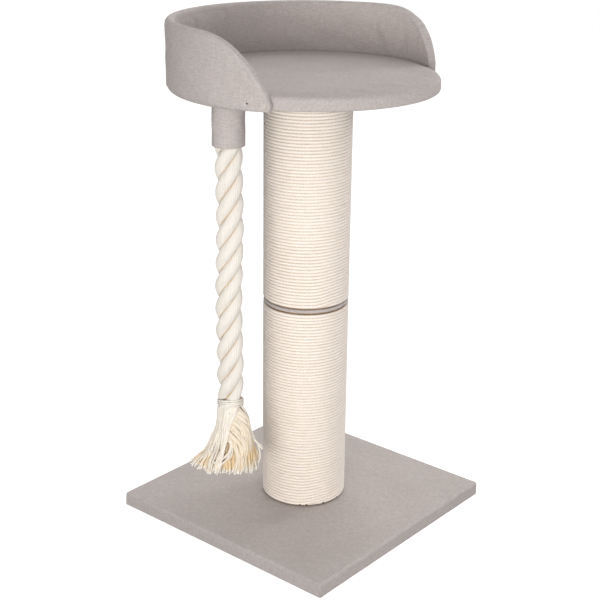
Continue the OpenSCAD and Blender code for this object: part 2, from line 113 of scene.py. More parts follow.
class Field:
    def __init__(self, maker, socket):
        self.maker = maker
        self.socket = socket

    def math(self, operation, *others):
        values = dict(enumerate((self, *others)))
        return self.maker.make("ShaderNodeMath", {"operation": operation}, values)

    def other(self, output):
        return Field(self.maker, self.socket.node.outputs[output])

    def smooth(self, low, high):
        spread = {"Value": self, "From Min": low, "From Max": high}
        return self.maker.make("ShaderNodeMapRange", {"interpolation_type": "SMOOTHSTEP"}, spread)

    def __add__(self, other):
        return self.math("ADD", other)

    def __sub__(self, other):
        return self.math("SUBTRACT", other)

    def __mul__(self, other):
        return self.math("MULTIPLY", other)

    def __truediv__(self, other):
        return self.math("DIVIDE", other)

    def __abs__(self):
        return self.math("ABSOLUTE")

    def __rsub__(self, other):
        return self.maker.make("ShaderNodeMath", {"operation": "SUBTRACT"}, {0: other, 1: self})

    __radd__ = __add__
    __rmul__ = __mul__


class NodeMaker:
    def __init__(self, tree):
        self.tree = tree

    def make(self, kind, settings=None, values=None, output=0):
        node = self.tree.nodes.new(kind)
        for name, setting in (settings or {}).items():
            if name == "stops":
                self.setStops(node.color_ramp, setting)
            else:
                setattr(node, name, setting)
        for key, value in (values or {}).items():
            socket = self.findSocket(node, key)
            if isinstance(value, Field):
                self.tree.links.new(value.socket, socket)
            else:
                socket.default_value = value
        return None if output is None else Field(self, node.outputs[output])

    def findSocket(self, node, key):
        if isinstance(key, int):
            return node.inputs[key]
        return next(socket for socket in node.inputs if socket.name == key and socket.enabled)

    def setStops(self, ramp, stops):
        for index, (place, colour) in enumerate(stops):
            stop = ramp.elements[index] if index < 2 else ramp.elements.new(place)
            stop.position = place
            stop.color = colour

    def vector(self, x, y, z):
        return self.make("ShaderNodeCombineXYZ", {}, {"X": x, "Y": y, "Z": z})

    def split(self, vector):
        first = self.make("ShaderNodeSeparateXYZ", {}, {"Vector": vector}, "X")
        return first, first.other("Y"), first.other("Z")

    def stored(self, name):
        return self.make("ShaderNodeAttribute", {"attribute_name": name}, {}, "Fac")

    def noise(self, place, scale, detail=2.0, seed=0.0):
        values = {"Vector": place, "W": seed, "Scale": scale, "Detail": detail}
        return self.make("ShaderNodeTexNoise", {"noise_dimensions": "4D"}, values)

    # Noise that runs at its own pace along each of its coordinates
    def streaks(self, x, y, z, detail=2.0, seed=0.0):
        return self.noise(self.vector(x, y, z), 1.0, detail, seed)

    def blend(self, factor, first, second):
        return self.make("ShaderNodeMix", {"data_type": "RGBA"}, {0: factor, 6: first, 7: second}, 2)


# Materials

def tone(red, green, blue):
    shares = [value / 255 for value in (red, green, blue)]
    return (*[((s + 0.055) / 1.055) ** 2.4 if s > 0.04 else s / 12.92 for s in shares], 1)


def newMaterial(name):
    material = bpy.data.materials.new(name)
    material.use_nodes = True
    material.node_tree.nodes.clear()
    return material, NodeMaker(material.node_tree)


def finishSurface(maker, colour, roughness, height=None, relief=0.2 * mm, **fixed):
    values = {"Base Color": colour, "Roughness": roughness}
    values.update(fixed)
    if height is not None:
        values["Normal"] = maker.make("ShaderNodeBump", {}, {"Height": height, "Distance": relief})
    shader = maker.make("ShaderNodeBsdfPrincipled", {}, values)
    maker.make("ShaderNodeOutputMaterial", {}, {"Surface": shader}, None)


def clothPlace(maker):
    return maker.make("ShaderNodeUVMap", {"uv_map": "cloth"})


def objectPlace(maker):
    return maker.make("ShaderNodeTexCoord", {}, {}, "Object")


canvas = {
    "thread": 0.9 * mm,
    "light": tone(200, 191, 187),
    "dark": tone(172, 163, 159),
    "warm": tone(190, 179, 170),
    "relief": 0.13 * mm,
}


# Greige upholstery cloth: plain weave with slubs, threads that differ a little, a faint heather, and painted shade
# in the hollows between threads
def canvasMaterial():
    material, maker = newMaterial("canvas")
    place = clothPlace(maker)
    along, across, _ = maker.split(place)
    threadU = along / canvas["thread"]
    threadV = across / canvas["thread"]
    countU = threadU.math("FLOOR")
    countV = threadV.math("FLOOR")
    warpWave = 1 + 0.5 * ((threadV + countU) * math.pi).math("COSINE")
    weftWave = 1 + 0.5 * ((threadU + countV + 1) * math.pi).math("COSINE")
    warp = abs((threadU * math.pi).math("SINE")) * warpWave
    weft = abs((threadV * math.pi).math("SINE")) * weftWave
    onTop = warp.math("GREATER_THAN", weft)
    warpTint = maker.streaks(countU * 0.37, across * 60, 1)
    weftTint = maker.streaks(countV * 0.37, along * 60, 7)
    tint = weftTint + (warpTint - weftTint) * onTop
    heather = maker.noise(place, 420, 3)
    slub = maker.streaks(along * 90, across * 520, 3)
    cloud = maker.noise(place, 14, 3, 4.0)
    # Painted shade: darker in the hollows between threads
    hollow = warp.math("MAXIMUM", weft).smooth(0.1, 1.1)
    mixed = (tint - 0.5) * 1.4 + (heather - 0.5) * 1.2 + (slub - 0.5) * 1.0
    shade = mixed + (cloud - 0.5) * 0.35 + 0.58 + (hollow - 1) * 0.25
    colour = maker.blend(shade.smooth(0.0, 1.0), canvas["dark"], canvas["light"])
    warmth = maker.noise(place, 150, 2, 9.0).smooth(0.5, 0.75) * 0.4
    colour = maker.blend(warmth, colour, canvas["warm"])
    height = warp.math("MAXIMUM", weft) + tint * 1.2
    finishSurface(maker, colour, 0.93 - heather * 0.08, height, canvas["relief"])
    return material


sisal = {
    "crest": tone(247, 237, 228),
    "pale": tone(253, 247, 242),
    # valley is painted shade between strands and also the random worn tone, deep is painted shade in the grooves
    # between turns, the gap colour is painted dark shadow in the gaps between turns
    "valley": tone(240, 226, 209),
    "deep": tone(222, 200, 174),
    "gap": tone(150, 122, 92),
    "outer": (0.0730, 0.0747),  # m from the post's axis, where a turn is deepest and highest
}


# Twisted plant fibre: strands with fine fibres along them, with painted shade between strands and between turns
# and painted dark shadow in the gaps between turns
def sisalMaterial():
    material, maker = newMaterial("sisal")
    along, around, _ = maker.split(clothPlace(maker))
    spot = objectPlace(maker)
    x, y, _ = maker.split(spot)
    radius = (x * x + y * y).math("SQRT")
    proud = radius.smooth(*sisal["outer"])
    lobe = abs((around * 3 * math.pi).math("SINE"))
    fibres = maker.streaks(along * 160, around * 46, 0, 3)
    longFibres = maker.streaks(along * 34, around * 18, 3)
    turnTint = maker.streaks(along * 7, 0, 0, 3, 2.0)
    patch = maker.noise(spot, 22, 2, 5.0)
    pale = ((fibres - 0.5) * 1.1 + (longFibres - 0.5) * 1.2 + (turnTint - 0.5) * 1.0 + 0.5).smooth(0, 1)
    colour = maker.blend(pale, sisal["crest"], sisal["pale"])
    worn = (turnTint * 0.5 + patch * 0.5).smooth(0.5, 0.72) * 0.35
    colour = maker.blend(worn, colour, sisal["valley"])
    # Painted shade: a little darker between the strands of each turn
    colour = maker.blend((1 - lobe.smooth(0.0, 0.6)) * 0.15, colour, sisal["valley"])
    # Painted shade in the grooves between turns, where a turn is less proud, a little darker between strands
    dashes = 0.75 + 0.25 * (1 - lobe.smooth(0.1, 0.8))
    colour = maker.blend((1 - proud) * dashes * 0.85, colour, sisal["deep"])
    # Painted dark shadow in streaks, only deep in the gaps between turns
    gap = maker.streaks(along * 48, 0, 7, 2, 1.0).smooth(0.64, 0.72)
    colour = maker.blend(gap * (1 - proud.smooth(0.0, 0.45)) * 0.7, colour, sisal["gap"])
    height = lobe * 0.15 + fibres * 0.7 + longFibres * 0.5
    finishSurface(maker, colour, 0.86 - pale * 0.1, height, 0.3 * mm)
    return material


cotton = {
    "white": tone(232, 226, 218),
    "cream": tone(225, 215, 200),
    # groove is painted shade between the strands
    "groove": tone(202, 174, 128),
    "yarnWhite": tone(245, 239, 231),
    "yarnCream": tone(236, 226, 209),
    "ochre": tone(234, 208, 166),
}


# Soft laid cotton: yarns that run nearly straight down, with painted ochre shade only deep between the strands
def cottonMaterial():
    material, maker = newMaterial("cotton")
    along, yarns, _ = maker.split(clothPlace(maker))
    depth = maker.stored("proud")
    fine = maker.streaks(along * 400, yarns * 4.0, 0, 3)
    yarnTint = maker.streaks(along * 12, yarns.math("FLOOR") * 3.7, 2)
    pale = ((fine - 0.5) * 0.6 + (yarnTint - 0.5) * 1.4 + 0.75).smooth(0, 1)
    colour = maker.blend(pale, cotton["cream"], cotton["white"])
    # Painted shade: ochre where the point lies deep between the strands
    colour = maker.blend(1 - depth.smooth(0.50, 0.76), colour, cotton["groove"])
    ridge = abs((yarns * math.pi).math("SINE"))
    ply = maker.streaks(along * 700, yarns * 2.0, 5)
    finishSurface(maker, colour, 0.9, ridge * 0.6 + fine * 0.6 + ply * 0.4, 0.3 * mm)
    return material


# Loose cotton yarn of the tassel: each yarn has its own tint, ochre where its warmth says so; on deeper layers and
# inner bundles that ochre is painted shade
def yarnMaterial():
    material, maker = newMaterial("yarn")
    number, along, warmth = (maker.stored(name) for name in ("strand", "along", "warmth"))
    spot = objectPlace(maker)
    own = maker.make("ShaderNodeTexWhiteNoise", {"noise_dimensions": "1D"}, {"W": number}, "Value")
    fine = maker.noise(spot, 900, 3)
    streak = maker.streaks(along * 9, number * 2.3, 0)
    pale = (own * 0.5 + (fine - 0.5) * 0.6 + (streak - 0.5) * 0.8 + 0.35).smooth(0, 1)
    colour = maker.blend(pale, cotton["yarnCream"], cotton["yarnWhite"])
    tint = warmth + (streak - 0.5) * 0.5 + (own - 0.5) * 0.3
    inside = 1 - along.smooth(0.93, 0.98)
    colour = maker.blend(tint.smooth(0.0, 1.1) * inside, colour, cotton["ochre"])
    finishSurface(maker, colour, 0.9, fine, 0.25 * mm)
    return material


# Particle board and plywood: flat chips of different browns
def boardMaterial():
    material, maker = newMaterial("particle_board")
    spot = objectPlace(maker)
    chips = maker.make("ShaderNodeTexVoronoi", {}, {"Vector": spot, "Scale": 420}, "Color")
    chip = maker.make("ShaderNodeSeparateColor", {}, {"Color": chips}, "Red")
    grain = maker.noise(spot, 240, 4)
    shade = (chip * 0.7 + grain * 0.5 - 0.1).smooth(0, 1)
    colour = maker.blend(shade, tone(134, 98, 62), tone(206, 172, 124))
    finishSurface(maker, colour, 0.75, chip * 0.5 + grain, 0.15 * mm)
    return material


# Wound paper tube: fine fibres and a slanted lap every 60 mm
def cardboardMaterial():
    material, maker = newMaterial("cardboard")
    spot = objectPlace(maker)
    height = maker.split(spot)[2]
    fibres = maker.noise(spot, 500, 4)
    lap = abs((height * 105).math("SINE")).smooth(0.0, 0.05)
    shade = (fibres * 0.9 + lap * 0.15).smooth(0.2, 0.9)
    colour = maker.blend(shade, tone(146, 112, 78), tone(188, 156, 116))
    finishSurface(maker, colour, 0.85, fibres + lap, 0.1 * mm)
    return material


# Open foam: small round cells, with painted shade in their pits
def foamMaterial():
    material, maker = newMaterial("foam")
    spot = objectPlace(maker)
    cells = maker.make("ShaderNodeTexVoronoi", {}, {"Vector": spot, "Scale": 900}, "Distance")
    # Painted shade: darker in the pit at the middle of each cell
    colour = maker.blend(cells.smooth(0.1, 0.7), tone(204, 196, 160), tone(240, 236, 212))
    finishSurface(maker, colour, 0.95, cells, 0.4 * mm)
    return material


# Zinc plated steel: pale spangle and fine rubbed lines
def steelMaterial():
    material, maker = newMaterial("zinc_steel")
    spot = objectPlace(maker)
    spangle = maker.noise(spot, 300, 2)
    drawn = maker.make("ShaderNodeMapping", {}, {"Vector": spot, "Scale": (1, 1, 9)})
    rubbed = maker.noise(drawn, 900, 2)
    colour = maker.blend(spangle.smooth(0.3, 0.7), tone(176, 178, 182), tone(214, 216, 220))
    finishSurface(maker, colour, 0.28 + rubbed * 0.2, rubbed, 0.02 * mm, Metallic=1.0)
    return material


# Dark nail heads: browned steel with duller specks
def nailMaterial():
    material, maker = newMaterial("browned_steel")
    spot = objectPlace(maker)
    specks = maker.noise(spot, 1500, 3)
    colour = maker.blend(specks.smooth(0.4, 0.7), tone(72, 62, 54), tone(110, 98, 88))
    finishSurface(maker, colour, 0.4 + specks * 0.25, specks, 0.03 * mm, Metallic=0.9)
    return material


# Black non-woven sheet under the boards: pressed fibres in a small dotted grid
def linerMaterial():
    material, maker = newMaterial("liner_sheet")
    spot = objectPlace(maker)
    x, y, _ = maker.split(spot)
    dots = ((x * 2500).math("SINE") * (y * 2500).math("SINE")).smooth(0.2, 0.8)
    fibres = maker.noise(spot, 700, 4)
    colour = maker.blend((fibres - dots * 0.3).smooth(0.1, 0.9), tone(46, 46, 48), tone(86, 86, 90))
    finishSurface(maker, colour, 0.8 + fibres * 0.15, fibres - dots, 0.12 * mm)
    return material


finishes = {
    "canvas": canvasMaterial(),
    "sisal": sisalMaterial(),
    "cotton": cottonMaterial(),
    "yarn": yarnMaterial(),
    "wood": boardMaterial(),
    "cardboard": cardboardMaterial(),
    "foam": foamMaterial(),
    "steel": steelMaterial(),
    "nail": nailMaterial(),
    "liner": linerMaterial(),
}
print("materials made:", len(finishes))


# Mesh helpers

# One closed mesh from patches of a grid of points each, welded where they meet
def weaveMesh(name, patches, finish, weld=0.01 * mm):
    points, maps, faces, extras, count = [], [], [], {}, 0
    for patch in patches:
        rows, columns = patch["points"].shape[:2]
        index = np.arange(rows * columns).reshape(rows, columns) + count
        quads = np.stack([index[:-1, :-1], index[:-1, 1:], index[1:, 1:], index[1:, :-1]], -1)
        faces.append(quads.reshape(-1, 4))
        points.append(patch["points"].reshape(-1, 3))
        maps.append(patch["cloth"].reshape(-1, 2))
        for key, values in patch.get("extra", {}).items():
            extras.setdefault(key, []).append(values.ravel())
        count += rows * columns
    mesh = bpy.data.meshes.new(name)
    mesh.from_pydata((np.concatenate(points) * mm).tolist(), [], np.concatenate(faces).tolist())
    corners = np.empty(len(mesh.loops), dtype=np.int32)
    mesh.loops.foreach_get("vertex_index", corners)
    layer = mesh.uv_layers.new(name="cloth")
    layer.data.foreach_set("uv", np.concatenate(maps)[corners].ravel())
    for key, values in extras.items():
        mesh.attributes.new(key, "FLOAT", "POINT").data.foreach_set("value", np.concatenate(values))
    work = bmesh.new()
    work.from_mesh(mesh)
    bmesh.ops.remove_doubles(work, verts=work.verts, dist=weld)
    bmesh.ops.recalc_face_normals(work, faces=work.faces)
    work.to_mesh(mesh)
    work.free()
    mesh.polygons.foreach_set("use_smooth", np.ones(len(mesh.polygons), dtype=bool))
    mesh.materials.append(finishes[finish])
    return addObject(name, mesh)


# A gentle unevenness of cloth over two coordinates, the same on each run
def ripple(x, y, size, seed, waves=9):
    chance = np.random.default_rng(seed)
    total = np.zeros(np.broadcast(x, y).shape)
    for _ in range(waves):
        heading = chance.uniform(0, fullTurn)
        pace = fullTurn / (size * chance.uniform(0.7, 1.6))
        run = x * math.cos(heading) + y * math.sin(heading)
        total = total + np.cos(run * pace + chance.uniform(0, fullTurn))
    return total / math.sqrt(waves)


def ramp(value, low, high):
    share = np.clip((value - low) / (high - low), 0, 1)
    return share * share * (3 - 2 * share)


def between(first, second, share):
    return first + (second - first) * share


# Stretches of a ring joined, with its first point once more at its end
def closeRing(stretches, axis=0):
    ring = np.concatenate(stretches, axis)
    return np.concatenate([ring, ring.take([0], axis)], axis)


# Cloth gets its thickness inwards, so that its outer side stays where it was drawn
def thicken(piece, thickness):
    shell = piece.modifiers.new("thickness", "SOLIDIFY")
    shell.thickness = thickness * mm
    shell.offset = -1
    shell.use_even_offset = True
    with bpy.context.temp_override(object=piece, active_object=piece):
        bpy.ops.object.modifier_apply(modifier=shell.name)


# Cloth simulation of a padded cover: foam presses from inside, what is nailed or lies on board is held

stuffing = {
    "frames": 20,
    "pressure": 0.8,
    "spare": 0.006,        # how much wider the cloth is cut than what it covers
    "vertexMass": 0.05,
    "stretchStiffness": 12.0,
    "shearStiffness": 4.0,
    "bendingStiffness": 0.3,
    "quality": 6,
}


def pointsOf(mesh):
    points = np.empty(len(mesh.vertices) * 3)
    mesh.vertices.foreach_get("co", points)
    return points.reshape(-1, 3)


def addCloth(piece, held):
    group = piece.vertex_groups.new(name="held")
    for index in np.flatnonzero(held > 0.001):
        group.add([int(index)], float(held[index]), "REPLACE")
    cloth = piece.modifiers.new("stuffing", "CLOTH")
    cloth.collision_settings.use_collision = False
    cloth.point_cache.frame_start = 1
    cloth.point_cache.frame_end = stuffing["frames"]
    settings = cloth.settings
    settings.quality = stuffing["quality"]
    settings.mass = stuffing["vertexMass"]
    settings.tension_stiffness = stuffing["stretchStiffness"]
    settings.compression_stiffness = stuffing["stretchStiffness"]
    settings.shear_stiffness = stuffing["shearStiffness"]
    settings.bending_stiffness = stuffing["bendingStiffness"]
    settings.use_pressure = True
    settings.uniform_pressure_force = stuffing["pressure"]
    settings.shrink_min = settings.shrink_max = -stuffing["spare"]
    settings.vertex_group_mass = group.name
    settings.effector_weights.gravity = 0
    return cloth, group


# The cloth only keeps what it moved outwards, and no more than the cap, in mm
def stuffCover(piece, heldShare, cap):
    scene = bpy.context.scene
    mesh = piece.data
    before = pointsOf(mesh)
    cloth, group = addCloth(piece, heldShare(before / mm))
    for step in range(1, stuffing["frames"] + 1):
        scene.frame_set(step)
    move = pointsOf(piece.evaluated_get(bpy.context.evaluated_depsgraph_get()).data) - before
    outwards = np.array([tuple(vertex.normal) for vertex in mesh.vertices])
    inwards = np.minimum((move * outwards).sum(1, keepdims=True), 0)
    move = move - inwards * outwards
    length = np.linalg.norm(move, axis=1, keepdims=True)
    kept = cap * mm * np.tanh(length / (cap * mm))
    piece.modifiers.remove(cloth)
    piece.vertex_groups.remove(group)
    mesh.vertices.foreach_set("co", (before + move * kept / np.maximum(length, 1e-9)).ravel())
    mesh.update()
    scene.frame_set(1)
    figures = [round(float(value) / mm, 2) for value in (length.max(), kept.max(), np.median(kept))]
    print(piece.name, "stuffed, mm: moved up to", figures[0], "kept up to", figures[1], "median", figures[2])


# Geometry node helpers

def newTree(name, inputs):
    tree = bpy.data.node_groups.new(name, "GeometryNodeTree")
    tree.interface.new_socket("Geometry", in_out="OUTPUT", socket_type="NodeSocketGeometry")
    for label, kind in inputs.items():
        tree.interface.new_socket(label, in_out="INPUT", socket_type="NodeSocket" + kind)
    maker = NodeMaker(tree)
    group = tree.nodes.new("NodeGroupInput")
    return maker, {label: Field(maker, group.outputs[label]) for label in inputs}


def endTree(maker, geometry, material):
    smooth = maker.make("GeometryNodeSetShadeSmooth", {}, {"Geometry": geometry})
    real = maker.make("GeometryNodeRealizeInstances", {}, {"Geometry": smooth})
    dressed = maker.make("GeometryNodeSetMaterial", {}, {"Geometry": real, "Material": material})
    maker.make("NodeGroupOutput", {}, {"Geometry": dressed}, None)


# Runs a tree on a mesh, empty unless one is given, and keeps what comes out as a plain mesh
def runTree(name, maker, values, start=None):
    piece = addObject(name, start or bpy.data.meshes.new(name))
    modifier = piece.modifiers.new(name, "NODES")
    modifier.node_group = maker.tree
    for item in maker.tree.interface.items_tree:
        if item.name in values:
            modifier[item.identifier] = values[item.name]
    graph = bpy.context.evaluated_depsgraph_get()
    mesh = bpy.data.meshes.new_from_object(piece.evaluated_get(graph))
    piece.modifiers.remove(modifier)
    piece.data = mesh
    return piece


def storeField(maker, geometry, label, value, kind="FLOAT", domain="POINT"):
    settings = {"data_type": kind, "domain": domain}
    values = {"Geometry": geometry, "Name": label, "Value": value}
    return maker.make("GeometryNodeStoreNamedAttribute", settings, values)


# Hanging rope: three strands of yarns laid up round a listed route

mouth = Vector(frame["joints"][0]["pos_m"]) / mm  # middle of the holder's open end
platformTurn = math.radians(-2)                   # how the platform and its holder sit on the post
hangingRope = {
    "diameter": 45,
    "lay": 117,           # length of one turn of the strands
    "strands": 3,
    "firstAngle": 0.4,
    "strandRadius": 10.95,
    "strandPlace": 11.55,  # from the rope's axis to a strand's
    "yarns": 20,          # round each strand
    "yarnLay": 58,        # length in which the yarns turn once, the other way
    "yarnPoints": 6,
    "yarnRelief": 0.4,
    "plumpness": 0.22,    # unevenness of a strand, and the size of its patches
    "plumpSize": 34,
    "ringStep": 2.1,
    "boundDiameter": 41.5,
    "boundDepths": (402, 420),
    "insideHolder": 15,
    "endSqueeze": 0.12,   # under the washer, and over what height
    "endReach": 8,
}
# Points from the middle of the holder's mouth, in mm
ropeRoute = [
    (0, 0, 0), (0, 0, -12), (0, 0, -30), (0.5, 0, -60), (1, -0.5, -90), (1, -1, -120),
    (0.5, -1, -150), (0, -0.5, -180), (-0.5, 0, -210), (-1, 0.5, -240), (-1, 1, -270),
    (-0.5, 1, -300), (0, 0.5, -330), (0.5, 0, -360), (0.5, 0, -390), (0, 0, -420),
    (0, 0, -432), (0, 0, -447),
]


def routePoints():
    spin = Matrix.Rotation(platformTurn, 3, "Z")
    return np.array([mouth + spin @ Vector(point) for point in ropeRoute])


def strandPatches(levels, squeeze):
    size = hangingRope
    route = routePoints()[::-1]
    axisX = np.interp(levels, route[:, 2], route[:, 0])
    axisY = np.interp(levels, route[:, 2], route[:, 1])
    around = size["yarns"] * size["yarnPoints"]
    corner = np.arange(around + 1) / around
    relief = size["yarnRelief"] * np.abs(np.sin(math.pi * size["yarns"] * corner)) - size["yarnRelief"]
    patches = []
    for strand in range(size["strands"]):
        turn = size["firstAngle"] + fullTurn * (levels / size["lay"] + strand / size["strands"])
        outwards = np.stack([np.cos(turn), np.sin(turn), 0 * turn], -1)
        sideways = np.stack([-np.sin(turn), np.cos(turn), 0 * turn], -1)
        place = size["strandPlace"] * squeeze
        slope = (place * fullTurn / size["lay"])[:, None]
        run = (sideways * slope + np.array([0, 0, 1])) / np.sqrt(1 + slope ** 2)
        beside = np.cross(run, outwards)
        section = fullTurn * (corner[None, :] - levels[:, None] / size["yarnLay"])
        plump = ripple(levels[:, None], corner[None, :] * 40, size["plumpSize"], 5 + strand)
        radius = size["strandRadius"] * squeeze[:, None] + relief[None, :] + size["plumpness"] * plump
        radius[0] = 0.0
        radius[-1] = 0.0
        centre = np.stack([axisX, axisY, levels], -1) + outwards * place[:, None]
        points = (centre[:, None, :]
                  + (radius * np.cos(section))[..., None] * outwards[:, None, :]
                  + (radius * np.sin(section))[..., None] * beside[:, None, :])
        points[:, -1] = points[:, 0]
        fromAxis = np.hypot(points[..., 0] - axisX[:, None], points[..., 1] - axisY[:, None])
        # How far out from the rope's axis a point lies; the cotton material paints shade where this is low
        proud = fromAxis / (size["diameter"] / 2 * squeeze[:, None])
        along = np.repeat(levels[:, None] * mm, around + 1, 1)
        yarn = np.repeat(corner[None, :] * size["yarns"], len(levels), 0) + strand * size["yarns"]
        patches.append({"points": points, "cloth": np.stack([along, yarn], -1), "extra": {"proud": proud}})
    return patches


def buildRope():
    size = hangingRope
    depths = np.arange(-size["insideHolder"], -ropeRoute[-1][2] + 0.1, size["ringStep"])
    depths = np.concatenate([depths[:1], depths, depths[-1:]])
    bound = ramp(depths, *size["boundDepths"])
    squeeze = 1 - bound * (1 - size["boundDiameter"] / size["diameter"])
    return weaveMesh("hanging_rope", strandPatches(mouth.z - depths, squeeze), "cotton")


# The rope's held end goes on up to the washer that carries it
def buildHeldEnd():
    size = hangingRope
    top = boxOf("rope_neck")[1][2]
    levels = np.arange(mouth.z + size["insideHolder"], top, size["ringStep"])
    levels = np.concatenate([levels[:1], levels, levels[-1:]])
    squeeze = 1 - size["endSqueeze"] * ramp(levels, top - size["endReach"], top)
    return weaveMesh("rope_held_end", strandPatches(levels, squeeze), "cotton")


rope = buildRope()
heldEnd = buildHeldEnd()
print("rope made:", len(rope.data.polygons), "faces")


# Winding tree: one laid rope wound in turns round a post, level at its two ends

def windingTree():
    maker, size = newTree("rope_winding", {
        "Turns": "Float", "Rings": "Int", "Points Round": "Int", "Coil Radius": "Float",
        "Rope Radius": "Float", "Pitch": "Float", "Lay": "Float", "Strand Depth": "Float",
        "First Height": "Float", "First Angle": "Float", "Level Turns": "Float", "Step": "Float",
        "Taper": "Float", "Waver": "Float", "Width": "Float", "Seed": "Float", "Centre": "Vector",
        "Material": "Material",
    })
    grid = maker.make("GeometryNodeMeshGrid", {}, {
        "Size X": 1.0, "Size Y": 1.0, "Vertices X": size["Rings"], "Vertices Y": size["Points Round"],
    })
    gridX, gridY, _ = maker.split(maker.make("GeometryNodeInputPosition"))
    around = gridY + 0.5
    ring = ((gridX + 0.5) * (size["Rings"] - 1)).math("ROUND")
    inner = ring.math("MAXIMUM", 1.0).math("MINIMUM", size["Rings"] - 2)
    isOpen = 1 - abs(ring - inner)
    turn = (inner - 1) / (size["Rings"] - 3) * size["Turns"]
    angle = turn * fullTurn + size["First Angle"]
    rise, lift, girth = turn, 0.0, isOpen
    for reach, side in ((turn, 1), (size["Turns"] - turn, -1)):
        step = reach.math("FLOOR") - 1 + reach.math("FRACT").smooth(0.0, size["Step"])
        level = (1 - reach / size["Level Turns"]).math("MAXIMUM", 0.0)
        rise = rise + (step.math("MAXIMUM", 0.0) - reach) * level * side
        thin = (1 - reach.smooth(0.0, size["Step"])) * size["Taper"]
        girth = girth * (1 - thin)
        lift = lift - size["Rope Radius"] * thin * side
    cosine = angle.math("COSINE")
    sine = angle.math("SINE")
    wander = maker.vector(cosine * 2, sine * 2, turn * 0.8)
    drift = (maker.noise(wander, 1.7, 2, size["Seed"]) - 0.5) * size["Waver"] * 2
    bulge = (maker.noise(wander, 2.6, 2, size["Seed"] + 7) - 0.5) * size["Waver"] * 2
    height = size["First Height"] + size["Pitch"] * rise + drift + lift
    along = turn * size["Coil Radius"] * fullTurn
    stray = maker.streaks(turn * 0.6, 3.0, 0.0, 2, size["Seed"] + 5) - 0.5
    section = around * fullTurn + along / size["Lay"] * fullTurn + stray * fullTurn * 2
    lobe = abs((around * 3 * math.pi).math("SINE"))
    radius = size["Rope Radius"] * (1 - size["Strand Depth"] * (1 - lobe)) * girth
    outwards = size["Coil Radius"] + bulge + radius * section.math("COSINE")
    upwards = height + radius * size["Width"] * section.math("SINE")
    local = maker.vector(outwards * cosine, outwards * sine, upwards)
    moved = maker.make("ShaderNodeVectorMath", {"operation": "ADD"}, {0: local, 1: size["Centre"]})
    mapped = storeField(maker, grid, "cloth", maker.vector(along, around, 0.0), "FLOAT2", "CORNER")
    mapped = storeField(maker, mapped, "proud", 0.72 + 0.28 * lobe)
    wound = maker.make("GeometryNodeSetPosition", {}, {"Geometry": mapped, "Position": moved})
    welded = maker.make("GeometryNodeMergeByDistance", {}, {"Geometry": wound, "Distance": 0.01 * mm})
    endTree(maker, welded, size["Material"])
    return maker


postWinding = {
    "turns": 65.45,
    "ringsPerTurn": 160,
    "pointsRound": 10,
    "ropeRadius": 3.3,
    "coilRadius": 71.65,
    "lay": 21,
    "strandDepth": 0.04,
    "levelTurns": 20.0,
    "step": 0.09,         # of a turn, in which the rope's end thins out and the next turn climbs over it
    "taper": 0.8,
    "waver": 0.14,
    "width": 1.1,         # of the pressed rope, against its thickness
}
bindingCord = {
    "turns": 3.7,
    "ringsPerTurn": 120,
    "pointsRound": 10,
    "ropeRadius": 1.9,
    "coilRadius": 20.5,
    "pitch": 3.1,
    "lay": 11,
    "strandDepth": 0.12,
    "levelTurns": 1.0,
    "step": 0.2,
    "taper": 0.5,
    "firstHeight": 253.6,
    "firstAngle": -2.2,
    "waver": 0.5,
    "width": 1.0,
    "tilt": 0.24,         # the front of the ring is a little higher than its back
}


# Winds a rope of a dictionary's size; the pitch, the first height and the centre are in m
def windRope(name, size, pitch, firstHeight, firstAngle, seed, centre, finish):
    return runTree(name, winding, {
        "Turns": size["turns"], "Rings": round(size["turns"] * size["ringsPerTurn"]),
        "Points Round": size["pointsRound"], "Coil Radius": size["coilRadius"] * mm,
        "Rope Radius": size["ropeRadius"] * mm, "Pitch": pitch, "Lay": size["lay"] * mm,
        "Strand Depth": size["strandDepth"], "First Height": firstHeight, "First Angle": firstAngle,
        "Level Turns": size["levelTurns"], "Step": size["step"], "Taper": size["taper"],
        "Waver": size["waver"] * mm, "Width": size["width"], "Seed": seed, "Centre": centre,
        "Material": finishes[finish],
    })


def buildPostWinding(name, node, firstAngle, seed):
    size = postWinding
    low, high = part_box(node)
    halfWidth = size["ropeRadius"] * mm * size["width"]
    pitch = (high.z - low.z - 2 * halfWidth) / size["turns"]
    return windRope(name, size, pitch, low.z + halfWidth, firstAngle, seed, (0.0, 0.0, 0.0), "sisal")


def buildBinding():
    size = bindingCord
    ropeEnd = routePoints()[-1] * mm
    centre = (float(ropeEnd[0]), float(ropeEnd[1]), 0.0)
    piece = windRope("binding_cord", size, size["pitch"] * mm, size["firstHeight"] * mm,
                     size["firstAngle"], 3.0, centre, "yarn")
    for vertex in piece.data.vertices:
        vertex.co.z -= size["tilt"] * (vertex.co - Vector(ropeEnd)).dot(photoAway)
    return piece


winding = windingTree()
lowerWinding = buildPostWinding("lower_winding", "lower_sisal", -2.5, 11.0)
upperWinding = buildPostWinding("upper_winding", "upper_sisal", -2.27, 23.0)
binding = buildBinding()
print("windings made:", len(lowerWinding.data.polygons), "faces each")


# Tassel: yarns laid along guides that were picked from the photo. A guide holds nine places down the
# tassel, in mm to the right, towards the viewer and down from the lower side of the binding.

